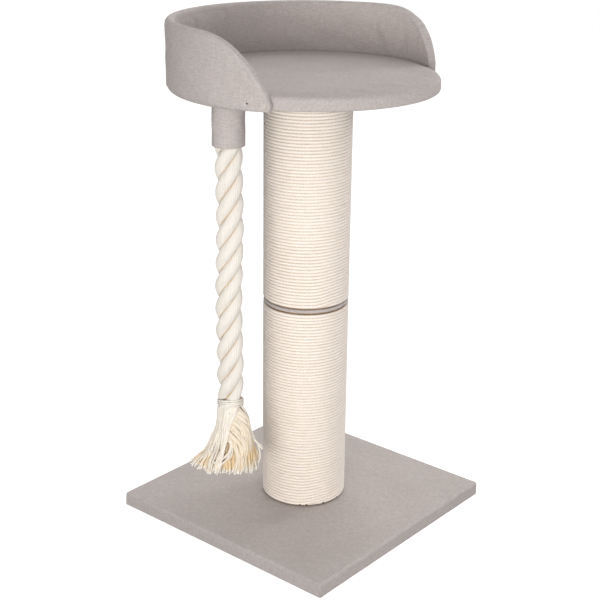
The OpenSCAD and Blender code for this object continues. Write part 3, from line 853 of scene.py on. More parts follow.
tasselYarns = {
    "rings": 42,
    "sides": 8,
    "yarnRadius": 1.6,
    "plyTurns": 9,
    "stray": 1.1,         # how far a yarn may lie from its place, in widths of one
    "lengths": (0.955, 1.015),
    "layerStep": 2.8,
    "layerStray": 0.9,
    # extra ochre on each deeper layer of yarns: painted shade inside the tassel
    "deeperLayerShade": 0.35,
    "sway": 2.6,
    "waves": ((1.1, 1.0), (2.6, 0.45)),  # how many waves down a yarn, and their strength
    "neckRadius": 18.6,   # that the yarns keep within at the binding
    "neckSpread": 0.8,
    "ochrePatch": (37, 80),  # mm to the right and down, where it is deepest
    "ochreReach": (7, 9),
    "ochreStrength": 0.9,
    "seed": 4,
}
tasselBundles = {
    "left": {
        "yarns": 46, "layers": 3, "warmth": (0.05, 0.35),
        "guides": [
            ([-21, -22, -23, -27, -33, -40, -48, -60, -73], [0] * 9, [-2, 11, 26, 41, 56, 73, 84, 94, 102]),
            ([-18, -18, -20, -22, -27, -33, -41, -50, -57], [8, 8, 9, 10, 12, 13, 14, 15, 16],
             [-6, 7, 21, 36, 50, 66, 83, 95, 107]),
            ([-13, -14, -15, -18, -21, -26, -34, -40, -45], [13, 14, 15, 17, 19, 20, 22, 23, 24],
             [-8, 4, 18, 32, 46, 64, 82, 97, 110]),
            ([-7, -8, -10, -12, -15, -17, -22, -27, -32], [17, 18, 20, 22, 24, 26, 28, 29, 30],
             [-10, 2, 16, 30, 44, 61, 81, 97, 114]),
        ],
    },
    "pale": {
        "yarns": 30, "layers": 2, "warmth": (0.0, 0.2),
        "guides": [
            ([-9, -9, -10, -11, -12, -14, -18, -22, -26], [19, 21, 23, 25, 27, 29, 31, 32, 33],
             [-11, 1, 15, 28, 42, 60, 77, 94, 110]),
            ([2, 1, -3, -6, -8, -10, -15, -19, -23], [20, 22, 25, 27, 29, 31, 33, 34, 34],
             [-12, 0, 13, 27, 41, 59, 76, 93, 108]),
            ([15, 12, 5, -1, -4, -7, -12, -17, -21], [14, 18, 22, 25, 28, 31, 33, 34, 34],
             [-9, 2, 15, 28, 41, 59, 76, 91, 106]),
        ],
    },
    "sweep": {
        "yarns": 66, "layers": 2, "warmth": (0.36, 0.5),
        "guides": [
            ([3, -2, -6, 1, 7, 10, 11, 9, 5], [13, 18, 23, 26, 28, 30, 31, 31, 32],
             [-8, 17, 44, 55, 65, 76, 86, 97, 108]),
            ([5, -1, -2, 5, 14, 18, 19, 19, 16], [13, 17, 21, 24, 27, 28, 30, 31, 32],
             [-8, 14, 34, 43, 53, 63, 77, 92, 108]),
            ([8, 3, 3, 12, 21, 26, 28, 27, 27], [13, 16, 19, 22, 24, 25, 27, 28, 29],
             [-8, 9, 20, 28, 38, 50, 67, 87, 109]),
            ([8, 6, 8, 17, 26, 30, 32, 33, 32], [12, 14, 17, 19, 20, 20, 22, 24, 26],
             [-8, 4, 12, 19, 29, 41, 59, 84, 109]),
            ([9, 11, 17, 25, 30, 32, 35, 39, 40], [10, 12, 13, 13, 13, 13, 15, 17, 19],
             [-7, 2, 7, 16, 28, 45, 66, 89, 111]),
            ([11, 16, 22, 29, 32, 33, 39, 46, 45], [6, 7, 7, 5, 4, 4, 4, 5, 7],
             [-5, 0, 6, 17, 30, 45, 66, 88, 109]),
        ],
    },
    # The low yarns are warmer: painted shade inside the tassel
    "low": {
        "yarns": 32, "layers": 2, "warmth": (0.3, 1.1),
        "guides": [
            ([-9, -9, -9, -9, -10, -11, -12, -13, -14], [9, 11, 13, 15, 18, 21, 24, 27, 29],
             [-6, 6, 21, 35, 48, 64, 81, 96, 111]),
            ([3, 3, 2, 1, 0, 0, 1, 2, 4], [9, 11, 13, 15, 18, 21, 24, 27, 29],
             [-6, 6, 21, 34, 48, 64, 81, 96, 111]),
            ([13, 15, 16, 18, 20, 22, 25, 28, 30], [5, 6, 8, 9, 11, 13, 16, 18, 20],
             [-5, 8, 21, 36, 50, 65, 82, 96, 112]),
        ],
    },
    "curl": {
        "yarns": 5, "layers": 1, "warmth": (0.1, 0.2),
        "guides": [
            ([2, 2, 2, 2, 2, 2, -6, -18, -29], [8, 9, 11, 15, 24, 31, 34, 35, 35],
             [-8, 3, 17, 30, 46, 62, 72, 80, 88]),
            ([7, 7, 7, 7, 5, 3, -2, -10, -18], [8, 9, 11, 15, 22, 29, 33, 34, 35],
             [-8, 4, 17, 34, 52, 70, 82, 91, 100]),
        ],
    },
    "stray": {
        "yarns": 3, "layers": 1, "warmth": (0.0, 0.0),
        "guides": [
            ([17, 25, 30, 33, 36, 40, 45, 49, 52], [2, 2, 2, 2, 3, 4, 5, 6, 7],
             [-4, 9, 24, 39, 49, 57, 61, 64, 68]),
            ([19, 27, 32, 34, 38, 45, 49, 50, 50], [0, 0, 0, 0, 1, 2, 3, 4, 5],
             [-3, 10, 25, 40, 54, 70, 81, 90, 100]),
        ],
    },
    "back": {
        "yarns": 48, "layers": 2, "warmth": (0.15, 0.4),
        "guides": [
            ([-19, -19, -20, -23, -27, -33, -42, -52, -58], [-5, -6, -8, -10, -12, -14, -17, -20, -22],
             [-2, 11, 26, 41, 56, 73, 88, 103, 114]),
            ([-12, -12, -13, -14, -16, -20, -25, -30, -34], [-14, -16, -18, -21, -24, -28, -32, -36, -38],
             [-2, 12, 27, 42, 57, 74, 90, 104, 118]),
            ([0] * 9, [-18, -20, -23, -27, -31, -35, -39, -42, -44], [-2, 12, 27, 42, 57, 74, 90, 104, 119]),
            ([11, 13, 15, 17, 19, 22, 25, 28, 28], [-14, -16, -18, -20, -23, -26, -30, -34, -36],
             [-2, 12, 27, 42, 57, 74, 90, 104, 118]),
            ([18, 24, 28, 30, 33, 38, 42, 44, 43], [-4, -5, -6, -7, -8, -10, -13, -15, -16],
             [-2, 12, 27, 42, 57, 74, 90, 104, 115]),
        ],
    },
    # The core yarns are warmer: painted shade inside the tassel
    "core": {
        "yarns": 16, "layers": 1, "warmth": (0.5, 1.0),
        "guides": [
            ([-10, -10, -12, -14, -18, -22, -28, -34, -38], [2, 1, 0, 0, -1, -2, -3, -4, -5],
             [-2, 12, 27, 42, 57, 74, 90, 102, 114]),
            ([0] * 9, [2, 1, 0, -3, -6, -9, -12, -14, -16], [-2, 12, 27, 42, 57, 74, 90, 104, 116]),
            ([10, 12, 14, 17, 20, 24, 28, 31, 33], [2, 1, 0, 0, -1, -2, -3, -4, -5],
             [-2, 12, 27, 42, 57, 74, 90, 104, 115]),
        ],
    },
}


# A smooth run of places through the last axis of some keys
def smoothThrough(keys, count):
    before = 2 * keys[..., :1] - keys[..., 1:2]
    after = 2 * keys[..., -1:] - keys[..., -2:-1]
    padded = np.concatenate([before, keys, after], -1)
    place = np.linspace(0, keys.shape[-1] - 1, count)
    first = np.minimum(place.astype(int), keys.shape[-1] - 2)
    part = place - first
    a, b, c, d = (padded[..., first + step] for step in range(4))
    bend = 2 * a - 5 * b + 4 * c - d
    return 0.5 * (2 * b + (c - a) * part + bend * part ** 2 + (3 * b - a - 3 * c + d) * part ** 3)


# Each yarn lies between two guides, in one of a few layers, and sways a little of its own
def yarnLine(bundle, yarn, chance):
    size = tasselYarns
    share = np.linspace(0, 1, size["rings"])
    guides = smoothThrough(np.array(bundle["guides"], float), size["rings"])
    spot = yarn + 0.5 + chance.uniform(-size["stray"], size["stray"])
    spot = np.clip(spot, 0.0, bundle["yarns"] - 0.01)
    place = spot / bundle["yarns"] * (len(guides) - 1)
    first = min(int(place), len(guides) - 2)
    right, near, down = guides[first] * (first + 1 - place) + guides[first + 1] * (place - first)
    layer = yarn % bundle["layers"]
    inwards = layer * size["layerStep"] + chance.uniform(-size["layerStray"], size["layerStray"])
    closer = 1 - inwards / np.maximum(np.hypot(right, near) + 0.01, 12)
    right, near = right * closer, near * closer
    for waves, strength in size["waves"]:
        phase = chance.uniform(0, fullTurn, 2)
        swing = size["sway"] * strength * share ** 1.2
        right = right + swing * np.sin(fullTurn * waves * share + phase[0])
        near = near + swing * np.sin(fullTurn * waves * share + phase[1])
    down = down[0] + (down - down[0]) * chance.uniform(*size["lengths"])
    most = size["neckRadius"] + size["neckSpread"] * np.clip(down + 2, 0, None)
    radius = np.hypot(right, near)
    held = np.minimum(1, most / np.maximum(radius, 1))
    early, late = bundle["warmth"]
    fromPatch = [(value - middle) / reach for value, middle, reach
                 in zip((right, down), size["ochrePatch"], size["ochreReach"])]
    glow = size["ochreStrength"] * np.exp(-fromPatch[0] ** 2 - fromPatch[1] ** 2)
    # Ochre warmth: a ramp down each yarn, painted shade on deeper layers and inner bundles, and the ochre patch
    warmth = between(early, late, share ** 1.5) + size["deeperLayerShade"] * layer + glow
    return right * held, near * held, down, share, warmth


def tasselMesh():
    size = tasselYarns
    chance = np.random.default_rng(size["seed"])
    points, edges, strands, alongs, warmths = [], [], [], [], []
    top = Vector(routePoints()[-1])
    for bundle in tasselBundles.values():
        for yarn in range(bundle["yarns"]):
            right, near, down, share, warmth = yarnLine(bundle, yarn, chance)
            first = len(points)
            for x, y, z in zip(right, near, down):
                points.append((top + photoRight * x - photoAway * y - Vector((0, 0, z))) * mm)
            edges += [(spot, spot + 1) for spot in range(first, len(points) - 1)]
            strands += [float(first // size["rings"])] * size["rings"]
            alongs += list(share)
            warmths += list(warmth)
    mesh = bpy.data.meshes.new("tassel_lines")
    mesh.from_pydata(points, edges, [])
    for label, values in (("strand", strands), ("along", alongs), ("warmth", warmths)):
        mesh.attributes.new(label, "FLOAT", "POINT").data.foreach_set("value", values)
    return mesh


# Yarn tree: gives drawn lines the section of a plied yarn, a little thicker near its loose end
def yarnTree():
    maker, size = newTree("yarns", {
        "Lines": "Geometry", "Sides": "Int", "Yarn Radius": "Float", "Ply Turns": "Float",
        "Material": "Material",
    })
    yarns = maker.make("GeometryNodeMeshToCurve", {}, {"Mesh": size["Lines"]})
    number = maker.make("GeometryNodeInputNamedAttribute", {"data_type": "FLOAT"}, {"Name": "strand"})
    down = maker.make("GeometryNodeInputNamedAttribute", {"data_type": "FLOAT"}, {"Name": "along"})
    seed = maker.vector(number, 4.0, 0.0)
    own = maker.make("ShaderNodeTexWhiteNoise", {"noise_dimensions": "2D"}, {"Vector": seed}, "Value")
    flare = 1 + 0.16 * down.smooth(0.86, 0.97)
    thickness = (0.86 + 0.28 * own) * flare * (1 - 0.5 * down.smooth(0.975, 1.0))
    sized = maker.make("GeometryNodeSetCurveRadius", {}, {"Curve": yarns, "Radius": thickness})
    twist = down * size["Ply Turns"] * fullTurn + number
    twisted = maker.make("GeometryNodeSetCurveTilt", {}, {"Curve": sized, "Tilt": twist})
    circle = maker.make("GeometryNodeCurvePrimitiveCircle", {"mode": "RADIUS"},
                        {"Resolution": size["Sides"], "Radius": size["Yarn Radius"]})
    spot = maker.make("GeometryNodeInputPosition")
    across = maker.split(spot)[0] / size["Yarn Radius"]
    pinch = {0: spot, 3: 0.80 + 0.20 * abs(across)}
    plied = maker.make("ShaderNodeVectorMath", {"operation": "SCALE"}, pinch)
    outline = maker.make("GeometryNodeSetPosition", {}, {"Geometry": circle, "Position": plied})
    tubes = maker.make("GeometryNodeCurveToMesh", {},
                       {"Curve": twisted, "Profile Curve": outline, "Fill Caps": True})
    endTree(maker, tubes, size["Material"])
    return maker


def buildTassel():
    size = tasselYarns
    return runTree("tassel_yarns", yarnTree(), {
        "Sides": size["sides"], "Yarn Radius": size["yarnRadius"] * mm,
        "Ply Turns": float(size["plyTurns"]), "Material": finishes["yarn"],
    }, tasselMesh())


tassel = buildTassel()
print("tassel made:", len(tassel.data.polygons), "faces")


# Base cover: cloth drawn over a square board, folded under it and at its corners

baseCloth = {
    "edgeRound": 4.6,
    "cornerRound": 0.6,   # at the flat top's corners
    "fullCorner": 3.6,    # at the outer vertical edges
    "footRound": 1.6,
    "hemWidth": 35,
    "thickness": 1.1,
    "ripple": 0.22,
    "rippleSize": 75,
    "foldDepth": 0.7,
    "foldWidth": 0.8,
    "foldDrop": (4.5, 10),  # below the top, where the corner's fold begins and is full
    "flapStep": 0.9,
    "flapReach": 24,
    "topRows": 30,
    "sideRows": 9,
    "sideSpots": (0, 0.4, 0.8, 1.3, 2, 3, 4.5, 6.5, 9, 12, 16, 21, 27, 34, 42, 50),
    "middleStep": 9,
    "cornerPoints": 13,
}


# Rows of a cover over a plate's edge: distance from the flat top's rim, height, and cloth run
def edgeRows(top, size):
    edgeRound, footRound = size["edgeRound"], size["footRound"]
    rows = []
    for angle in np.linspace(0, math.pi / 2, 8)[1:]:
        drop = edgeRound * (1 - math.cos(angle))
        rows.append((edgeRound * math.sin(angle), top - drop, edgeRound * angle))
    run = edgeRound * math.pi / 2
    for height in np.linspace(top - edgeRound, footRound, size["sideRows"])[1:]:
        rows.append((edgeRound, height, run + top - edgeRound - height))
    run = rows[-1][2]
    for angle in np.linspace(0, math.pi / 2, 5)[1:]:
        inwards = footRound * (1 - math.cos(angle))
        rows.append((edgeRound - inwards, footRound * (1 - math.sin(angle)), run + footRound * angle))
    run = rows[-1][2]
    for inwards in np.linspace(0, size["hemWidth"] - footRound, 6)[1:]:
        rows.append((edgeRound - footRound - inwards, 0, run + inwards))
    return rows


# All rows of a cover from the middle of its flat top outwards, as three columns of numbers
def coverRows(flat, top, size, crowding):
    rows = [(flat * share - flat, top, 0) for share in np.linspace(0, 1, size["topRows"]) ** crowding]
    return np.array(rows + edgeRows(top, size)).T[..., None]


def buildBaseCover():
    size = baseCloth
    half, _, top = boxOf("base_cover")[1]
    flat = half - size["edgeRound"]
    spots = np.array(size["sideSpots"])
    middleCount = round(2 * (half - spots[-1]) / size["middleStep"])
    middle = np.linspace(spots[-1], 2 * half - spots[-1], middleCount)
    side = np.concatenate([spots[:-1], middle, (2 * half - spots[:-1])[::-1]]) / half - 1
    bends = np.linspace(0, math.pi / 2, size["cornerPoints"])
    arcOut = np.stack([np.cos(bends), np.sin(bends)], -1)
    beyond, height, run = coverRows(flat, top, size, 0.85)
    ring = flat + beyond
    flatCorner, fullCorner = size["cornerRound"], size["fullCorner"]
    growth = (fullCorner - flatCorner) / size["edgeRound"]
    corner = flatCorner * np.clip(ring / flat, 0, 1) + np.clip(beyond, 0, None) * growth
    straight = np.stack([ring + 0 * side, (ring - corner) * side], -1)
    arc = (ring - corner)[..., None] + corner[..., None] * arcOut
    flatStraight = np.stack([flat + 0 * side, (flat - flatCorner) * side], -1)
    flatArc = flat - flatCorner + flatCorner * arcOut
    outwards = np.concatenate([np.tile((1.0, 0.0), (len(side), 1)), arcOut[1:-1]])
    fromEnd = (half - fullCorner) * (1 - np.abs(side)) + fullCorner * math.pi / 4
    onCorner = (bends[1:-1] - math.pi / 4) * fullCorner
    toFold = np.concatenate([np.where(side < 0, fromEnd, -fromEnd), onCorner])
    spins = [np.array(Matrix.Rotation(quarter * math.pi / 2, 2)).T for quarter in range(4)]
    plan = closeRing([np.concatenate([straight, arc[:, 1:-1]], 1) @ spin for spin in spins], 1)
    flatPlan = closeRing([np.concatenate([flatStraight, flatArc[1:-1]]) @ spin for spin in spins])
    normals = closeRing([outwards @ spin for spin in spins])
    fold = closeRing([toFold] * 4)
    onSide = ramp(top - height, *size["foldDrop"]) * ramp(height, -0.5, 1)
    groove = -size["foldDepth"] * np.exp(-(fold / size["foldWidth"]) ** 2)
    flap = size["flapStep"] * np.exp(-np.abs(fold) / size["flapReach"]) * ramp(fold, 0.2, 1.6)
    wave = size["ripple"] * ripple(plan[..., 0], plan[..., 1] + height, size["rippleSize"], 3)
    onEdge = ramp(top - height, 0, 6)
    shift = (groove + flap) * onSide + wave * onEdge * ramp(height, 0, 3)
    level = height + wave * (1 - onEdge) * ramp(half - ring, 0, 30)
    points = np.dstack([plan + normals * shift[..., None], level])
    cloth = (np.where(run[..., None] > 0, flatPlan, plan) + normals * run[..., None]) * mm
    piece = weaveMesh("base_cloth", [{"points": points, "cloth": cloth}], "canvas")
    thicken(piece, size["thickness"])
    return piece


# Platform cover: cloth drawn over foam and a round board, gathered in small pleats below

wallTurn = math.radians(-3.25)  # how the wall sits round the post
platformRadius = boxOf("platform_cover")[1][0]
platformCloth = {
    "edgeRound": 9,
    "pressed": 0.8,       # how much of the rounding is gone where the wall presses on the edge
    "pressedAngles": (2.05, 1.6),  # rad from the wall's middle, where the press begins and is full
    "bank": 2.2,          # how much higher the padding stands there
    "footRound": 3.4,
    "hemWidth": 30,
    "crown": 1.5,
    "thickness": 1.1,
    "columns": 400,
    "topRows": 34,
    "sideRows": 7,
    "pleats": 84,
    "pleatDepth": 0.8,
    "pucker": 0.16,
    "ripple": 0.3,
    "rippleSize": 85,
    "stuffingCap": 2.0,
    "heldBelow": (9, 2),  # below the top, where the cloth is held and where it is free
    "heldRim": (14, 5),   # the same in from the edge where the wall presses, free first
}


# How much the wall presses on the platform's edge, at an angle round the post
def wallPress(angle):
    begin, full = platformCloth["pressedAngles"]
    return ramp(np.cos(angle - math.pi / 2 - wallTurn), math.cos(begin), math.cos(full))


def buildPlatformCover():
    size = platformCloth
    low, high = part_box("platform_cover")
    radius, base = platformRadius, low.z / mm
    top = (high.z - low.z) / mm - size["crown"]
    edge, foot = size["edgeRound"], size["footRound"]
    flat = radius - edge
    beyond, height, run = coverRows(flat, top, size, 0.8)
    angle = np.linspace(0, fullTurn, size["columns"] + 1)[None, :]
    ring = flat + beyond + 0 * angle
    raised = size["crown"] * (1 - np.clip(ring / flat, 0, 1) ** 2) * (run <= 0)
    behind = wallPress(angle)
    tight = 1 - size["pressed"] * behind
    onEdge = (run > 0) & (height > top - edge - 0.01)
    onSide = (run > 0) & (height < top - edge - 0.01) & (height > foot - 0.01)
    ring = np.where(run <= 0, ring * (radius - edge * tight) / flat, ring)
    ring = np.where(onEdge, radius - (radius - ring) * tight, ring)
    stretch = (top - edge * tight - foot) / (top - edge - foot)
    height = np.where(onSide, foot + (height - foot) * stretch, height)
    height = np.where(onEdge, top - (top - height) * tight, height)
    x, y = ring * np.cos(angle), ring * np.sin(angle)
    dip = size["ripple"] * ripple(x, y, size["rippleSize"], 8) * ramp(radius - ring, 4, 40) * (run <= 0)
    dip = dip + size["bank"] * behind * np.clip(ring / radius, 0, 1) ** 8 * ((run <= 0) | onEdge)
    under = ramp(run, top + edge * 0.57, top + size["hemWidth"])
    pleat = np.cos(size["pleats"] * angle + 2.2 * ripple(x * 0.3, y * 0.3, 40, 12))
    lift = size["pleatDepth"] * under * (pleat - 1) * 0.5
    pucker = size["pucker"] * pleat * ramp(run, edge, top) * (1 - under)
    pucker[:, -1] = pucker[:, 0]
    outer = ring + pucker
    level = base + height + raised + dip - lift
    points = np.stack([outer * np.cos(angle), outer * np.sin(angle), level], -1)
    points[:, -1] = points[:, 0]
    reach = np.where(run > 0, flat + run, ring)
    cloth = np.stack([reach * np.cos(angle), reach * np.sin(angle)], -1) * mm
    piece = weaveMesh("platform_cloth", [{"points": points, "cloth": cloth}], "canvas")

    def heldShare(place):
        fromAxis = np.hypot(place[:, 0], place[:, 1])
        heldLevel, freeLevel = (base + top - drop for drop in size["heldBelow"])
        onBoard = 1 - ramp(place[:, 2], heldLevel, freeLevel)
        atRim = ramp(fromAxis, *(radius - inset for inset in size["heldRim"]))
        return np.maximum(onBoard, wallPress(np.arctan2(place[:, 1], place[:, 0])) * atRim)

    stuffCover(piece, heldShare, size["stuffingCap"])
    thicken(piece, size["thickness"])
    return piece


# Wall cover: a padded band round the back whose top edge falls in a bow to its two ends

wallCloth = {
    "thickness": 15.7,
    "clearance": 0.3,      # between the platform's edge and the wall
    "tipY": 110.5,
    "fallY": 41,
    "tipHeight": 9,
    "lean": ((2, 9), (9, 42)),  # how far each end goes back at the foot, and up to what height
    "tilt": 1.4,           # the top edge is a little lower at the left than at the right
    "bow": 3.1,
    "drop": 0.88,
    "rimRound": (11, 8),   # outside and inside
    "fallRound": (2.8, 5),  # the same along the falling edges
    "fallReach": (2, 25),  # drop of the top edge over which the one becomes the other
    "footRound": (10, 2),  # in the middle and at the ends
    "endReach": 90,        # from a tip, where an end begins
    "thinEnd": 0.45,       # how much of the outer half's thickness is gone at the right end's foot
    "thinReach": (50, 5),
    "thinHeight": (15, 65),
    "sag": (2.4, 0.2),     # of the cover's lower edge below the board, in the middle and at the ends
    "padInset": 1.5,
    "seamInset": 9,
    "seamDepth": 0.9,
    "seamWidth": 1.0,
    "ripple": 0.4,
    "tipPucker": 0.7,
    "fallColumns": 96,
    "topColumns": 70,
    "rows": 34,
    "nailAngle": math.radians(110),
    "nailHeight": 11.7,
    "nailDimple": 1.1,
    "nailReach": 3.5,
    "stuffingCap": 1.8,
    "heldFoot": (2, 8),    # height above the foot, where the cloth is held and where it is free
    "heldInside": (24, 34),
    "heldTip": (4, 16),
}


# Half of the wall's outline, unrolled: from the lower corner of an end up and round to the middle
def wallOutline(radius, height, inset, lean):
    size = wallCloth
    tipY = size["tipY"] - inset
    tip = math.acos(-tipY / radius) * radius
    rising = [(tip, inset + share * (size["tipHeight"] - inset)) for share in np.linspace(0, 1, 7)[:-1]]
    share = np.cos(np.linspace(0, math.pi / 2, size["fallColumns"]))
    y = size["fallY"] - share * (size["fallY"] + tipY)
    z = size["tipHeight"] + (height - size["tipHeight"]) * (1 - share ** size["bow"]) ** size["drop"]
    falling = np.stack([np.arccos(y / radius) * radius, z], -1)
    level = np.linspace(falling[-1, 0], 0, size["topColumns"])[1:]
    topRun = np.stack([level, 0 * level + height], -1)
    half = np.concatenate([np.array(rising), falling, topRun])
    half[:, 0] -= lean[0] * np.clip(1 - half[:, 1] / lean[1], 0, 1) ** 1.4
    return half, len(rising) + len(falling)


def lineLength(line):
    return np.concatenate([[0], np.cumsum(np.linalg.norm(np.diff(line, axis=0), axis=1))])


# A quarter circle's rise from 0 at an edge to 1 at its full reach
def quarterRound(share):
    return np.sqrt(np.clip(1 - (1 - np.clip(share, 0, 1)) ** 2, 0, 1))


def distanceTo(points, line):
    best = np.full(points.shape[:-1], np.inf)
    for start, end in zip(line[:-1], line[1:]):
        run = end - start
        share = np.clip(((points - start) @ run) / (run @ run), 0, 1)
        best = np.minimum(best, np.linalg.norm(points - start - share[..., None] * run, axis=-1))
    return best


# The wall unrolled: how far round and how high each point is, and how thick the wall is there
def wallSheet(height, inset):
    size = wallCloth
    radius = platformRadius + size["clearance"] + size["thickness"] / 2
    tops, feet = [], []
    for lean in size["lean"]:
        half, fallEnd = wallOutline(radius, height - inset, inset, lean)
        length = lineLength(half)
        share = np.clip(length / length[fallEnd - 1], 0, 1)
        footSpan = half[0, 0] - half[fallEnd - 1, 0]
        tops.append(half)
        feet.append(np.where(np.arange(len(half)) < fallEnd, half[0, 0] - footSpan * share, half[:, 0]))
    topLine = np.concatenate([tops[0], tops[1][-2::-1] * (-1, 1)])
    footLine = np.concatenate([feet[0], -feet[1][-2::-1]])
    blend = 0.5 - 0.5 * np.cos(np.linspace(0, math.pi, size["rows"]))[:, None]
    run = topLine[:, 0] * (1 - blend) + footLine * blend
    rise = topLine[:, 1] * (1 - blend) + inset * blend
    toRim = distanceTo(np.stack([run, rise], -1), topLine)
    tip = tops[0][:, 0].max()
    ends = ramp(np.abs(run), tip - size["endReach"], tip)
    falls = ramp(height - topLine[:, 1], *size["fallReach"])
    roundFoot = quarterRound((rise - inset) / between(*size["footRound"], ends))
    atEnd = ramp(-run, *(tip - reach for reach in size["thinReach"]))
    thin = 1 - size["thinEnd"] * atEnd * (1 - ramp(rise, *size["thinHeight"]))
    swells = []
    for rimRound, fallRound, share in zip(size["rimRound"], size["fallRound"], (thin, 1)):
        roundRim = quarterRound(toRim / (between(rimRound, fallRound, falls) - inset))
        swells.append((size["thickness"] / 2 - inset) * np.minimum(roundRim, roundFoot) * share)
    sag = between(*size["sag"], ends) * (1 - ramp(rise, 0, 30))
    return {
        "radius": radius, "run": run, "rise": rise, "toRim": toRim, "swells": swells,
        "calm": roundRim * roundFoot, "tip": tip, "top": topLine[:, 1],
        "shift": -sag - size["tilt"] * run / tip * ramp(rise, 20, height),
    }


def wallPatch(sheet, base, place):
    angle = math.pi / 2 + wallTurn + sheet["run"] / sheet["radius"]
    level = base + sheet["rise"] + sheet["shift"]
    points = np.stack([place * np.cos(angle), place * np.sin(angle), level], -1)
    return {"points": points, "cloth": np.stack([sheet["run"], sheet["rise"]], -1) * mm}


def buildWallCover():
    size = wallCloth
    low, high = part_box("wall_cover")
    base, height = low.z / mm, (high.z - low.z) / mm
    sheet = wallSheet(height, 0)
    run, rise, toRim = sheet["run"], sheet["rise"], sheet["toRim"]
    falls = 0.35 + 0.65 * ramp(height - sheet["top"], 0, 12)
    seam = size["seamDepth"] * np.exp(-((toRim - size["seamInset"]) / size["seamWidth"]) ** 2) * falls
    toTip = np.hypot(np.abs(run) - sheet["tip"], rise - size["tipHeight"])
    toNail = np.hypot(np.abs(run) - size["nailAngle"] * sheet["radius"], rise - size["nailHeight"])
    patches = []
    for outside, swell in zip((1, -1), sheet["swells"]):
        wrinkle = size["ripple"] * ripple(run, rise * 1.4, 70, 21 + outside)
        wrinkle = wrinkle + size["tipPucker"] * ripple(run, rise, 16, 31 + outside) * np.exp(-toTip / 30)
        dimple = size["nailDimple"] * np.exp(-(toNail / size["nailReach"]) ** 2) * (outside > 0)
        depth = swell + (wrinkle - seam - dimple - 0.15) * sheet["calm"]
        patches.append(wallPatch(sheet, base, sheet["radius"] + outside * depth))
    piece = weaveMesh("wall_cloth", patches, "canvas")

    def heldShare(place):
        up = place[:, 2] - base
        inside = np.hypot(place[:, 0], place[:, 1]) < sheet["radius"]
        turn = np.arctan2(place[:, 1], place[:, 0]) - math.pi / 2 - wallTurn
        toTip = sheet["tip"] - np.arccos(np.cos(turn)) * sheet["radius"]
        atFoot = np.maximum(1 - ramp(up, *size["heldFoot"]), inside * (1 - ramp(up, *size["heldInside"])))
        return np.maximum(atFoot, 1 - ramp(toTip, *size["heldTip"]))

    stuffCover(piece, heldShare, size["stuffingCap"])
    return piece


# The padding is as round at its edges as the cover, so that it never shows
def buildWallPadding():
    low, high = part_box("wall_cover")
    sheet = wallSheet((high.z - low.z) / mm, wallCloth["padInset"])
    sides = [sheet["radius"] + side * swell for side, swell in zip((1, -1), sheet["swells"])]
    return weaveMesh("wall_pad", [wallPatch(sheet, low.z / mm, place) for place in sides], "foam")


# Turned covers of the spacer and of the rope's holder

def turnedPiece(name, profile, columns, centre=(0, 0), shift=None, finish="canvas"):
    outline = np.array(profile)
    length = lineLength(outline)
    angle = np.linspace(0, fullTurn, columns + 1)[None, :]
    radius = outline[:, :1] + 0 * angle
    height = outline[:, 1:] + 0 * angle
    if shift is not None:
        radius = radius + shift(radius, height, angle)
    radius[:, -1] = radius[:, 0]
    points = np.stack([centre[0] + radius * np.cos(angle), centre[1] + radius * np.sin(angle), height], -1)
    widest = outline[:, 0].max()
    cloth = np.stack([angle * widest + 0 * radius, length[:, None] + 0 * radius], -1) * mm
    return weaveMesh(name, [{"points": points, "cloth": cloth}], finish)


def roundCorner(x, z, radius, first, last, steps=6):
    return [(x + radius * math.cos(a), z + radius * math.sin(a)) for a in np.linspace(first, last, steps)]


spacerCloth = {"edgeRound": 2.4, "hole": 5.4, "columns": 220, "bulge": 0.25}


def buildSpacerCover():
    size = spacerCloth
    (_, _, bottom), (edge, _, top) = boxOf("spacer_cover")
    corner = size["edgeRound"]
    profile = [(size["hole"], top), (edge * 0.6, top)]
    profile += roundCorner(edge - corner, top - corner, corner, math.pi / 2, 0)
    profile += roundCorner(edge - corner, bottom + corner, corner, 0, -math.pi / 2)
    profile += [(edge * 0.6, bottom), (size["hole"], bottom), (size["hole"], top)]

    def pucker(radius, height, angle):
        return size["bulge"] * ripple(angle * edge, height * 3, 26, 41) * ramp(radius, edge - 4, edge)

    return turnedPiece("spacer_cloth", profile, size["columns"], shift=pucker)


holderCloth = {
    "tubeRadius": 24.8,
    "turnedIn": 3.2,      # how far the cover goes in over the tube's end
    "lip": 1.2,
    "edgeRound": 1.7,
    "columns": 180,
    "rows": 22,
    "seamAngle": -1.02,
    "seamStep": 0.7,
    "seamReach": 0.35,
    "grooveDepth": 0.5,
    "grooveWidth": 0.03,
    "ripple": 0.22,
}


def buildHolderCover():
    size = holderCloth
    low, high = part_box("holder_cover")
    outer = (high.x - low.x) / 2 / mm
    bottom, top = low.z / mm, high.z / mm
    hole = outer - size["turnedIn"]
    corner = size["edgeRound"]
    profile = [(outer, level) for level in np.linspace(top, bottom + corner, size["rows"])]
    profile += roundCorner(outer - corner, bottom + corner, corner, 0, -math.pi / 2)[1:]
    profile += [(hole + 0.5, bottom), (hole, bottom + 0.5), (hole, bottom + size["lip"])]
    profile += [(size["tubeRadius"], bottom + size["lip"]), (size["tubeRadius"], top), (outer, top)]

    def lap(radius, height, angle):
        past = np.mod(angle - size["seamAngle"], fullTurn)
        step = size["seamStep"] * np.exp(-past / size["seamReach"]) * ramp(past, 0.0, 0.03)
        beside = np.minimum(past, fullTurn - past) / size["grooveWidth"]
        groove = -size["grooveDepth"] * np.exp(-beside ** 2)
        soft = size["ripple"] * ripple(angle * outer, height, 24, 51)
        return (step + groove + soft) * ramp(radius, outer - 1.2, outer)

    return turnedPiece("holder_cloth", profile, size["columns"], (mouth.x, mouth.y), lap)


platformPadding = {
    "sideGap": 0.4,
    "topGap": 3.2,        # below the crown of the cover
    "sharper": 1.6,       # how much smaller its rounding is than the cover's
}


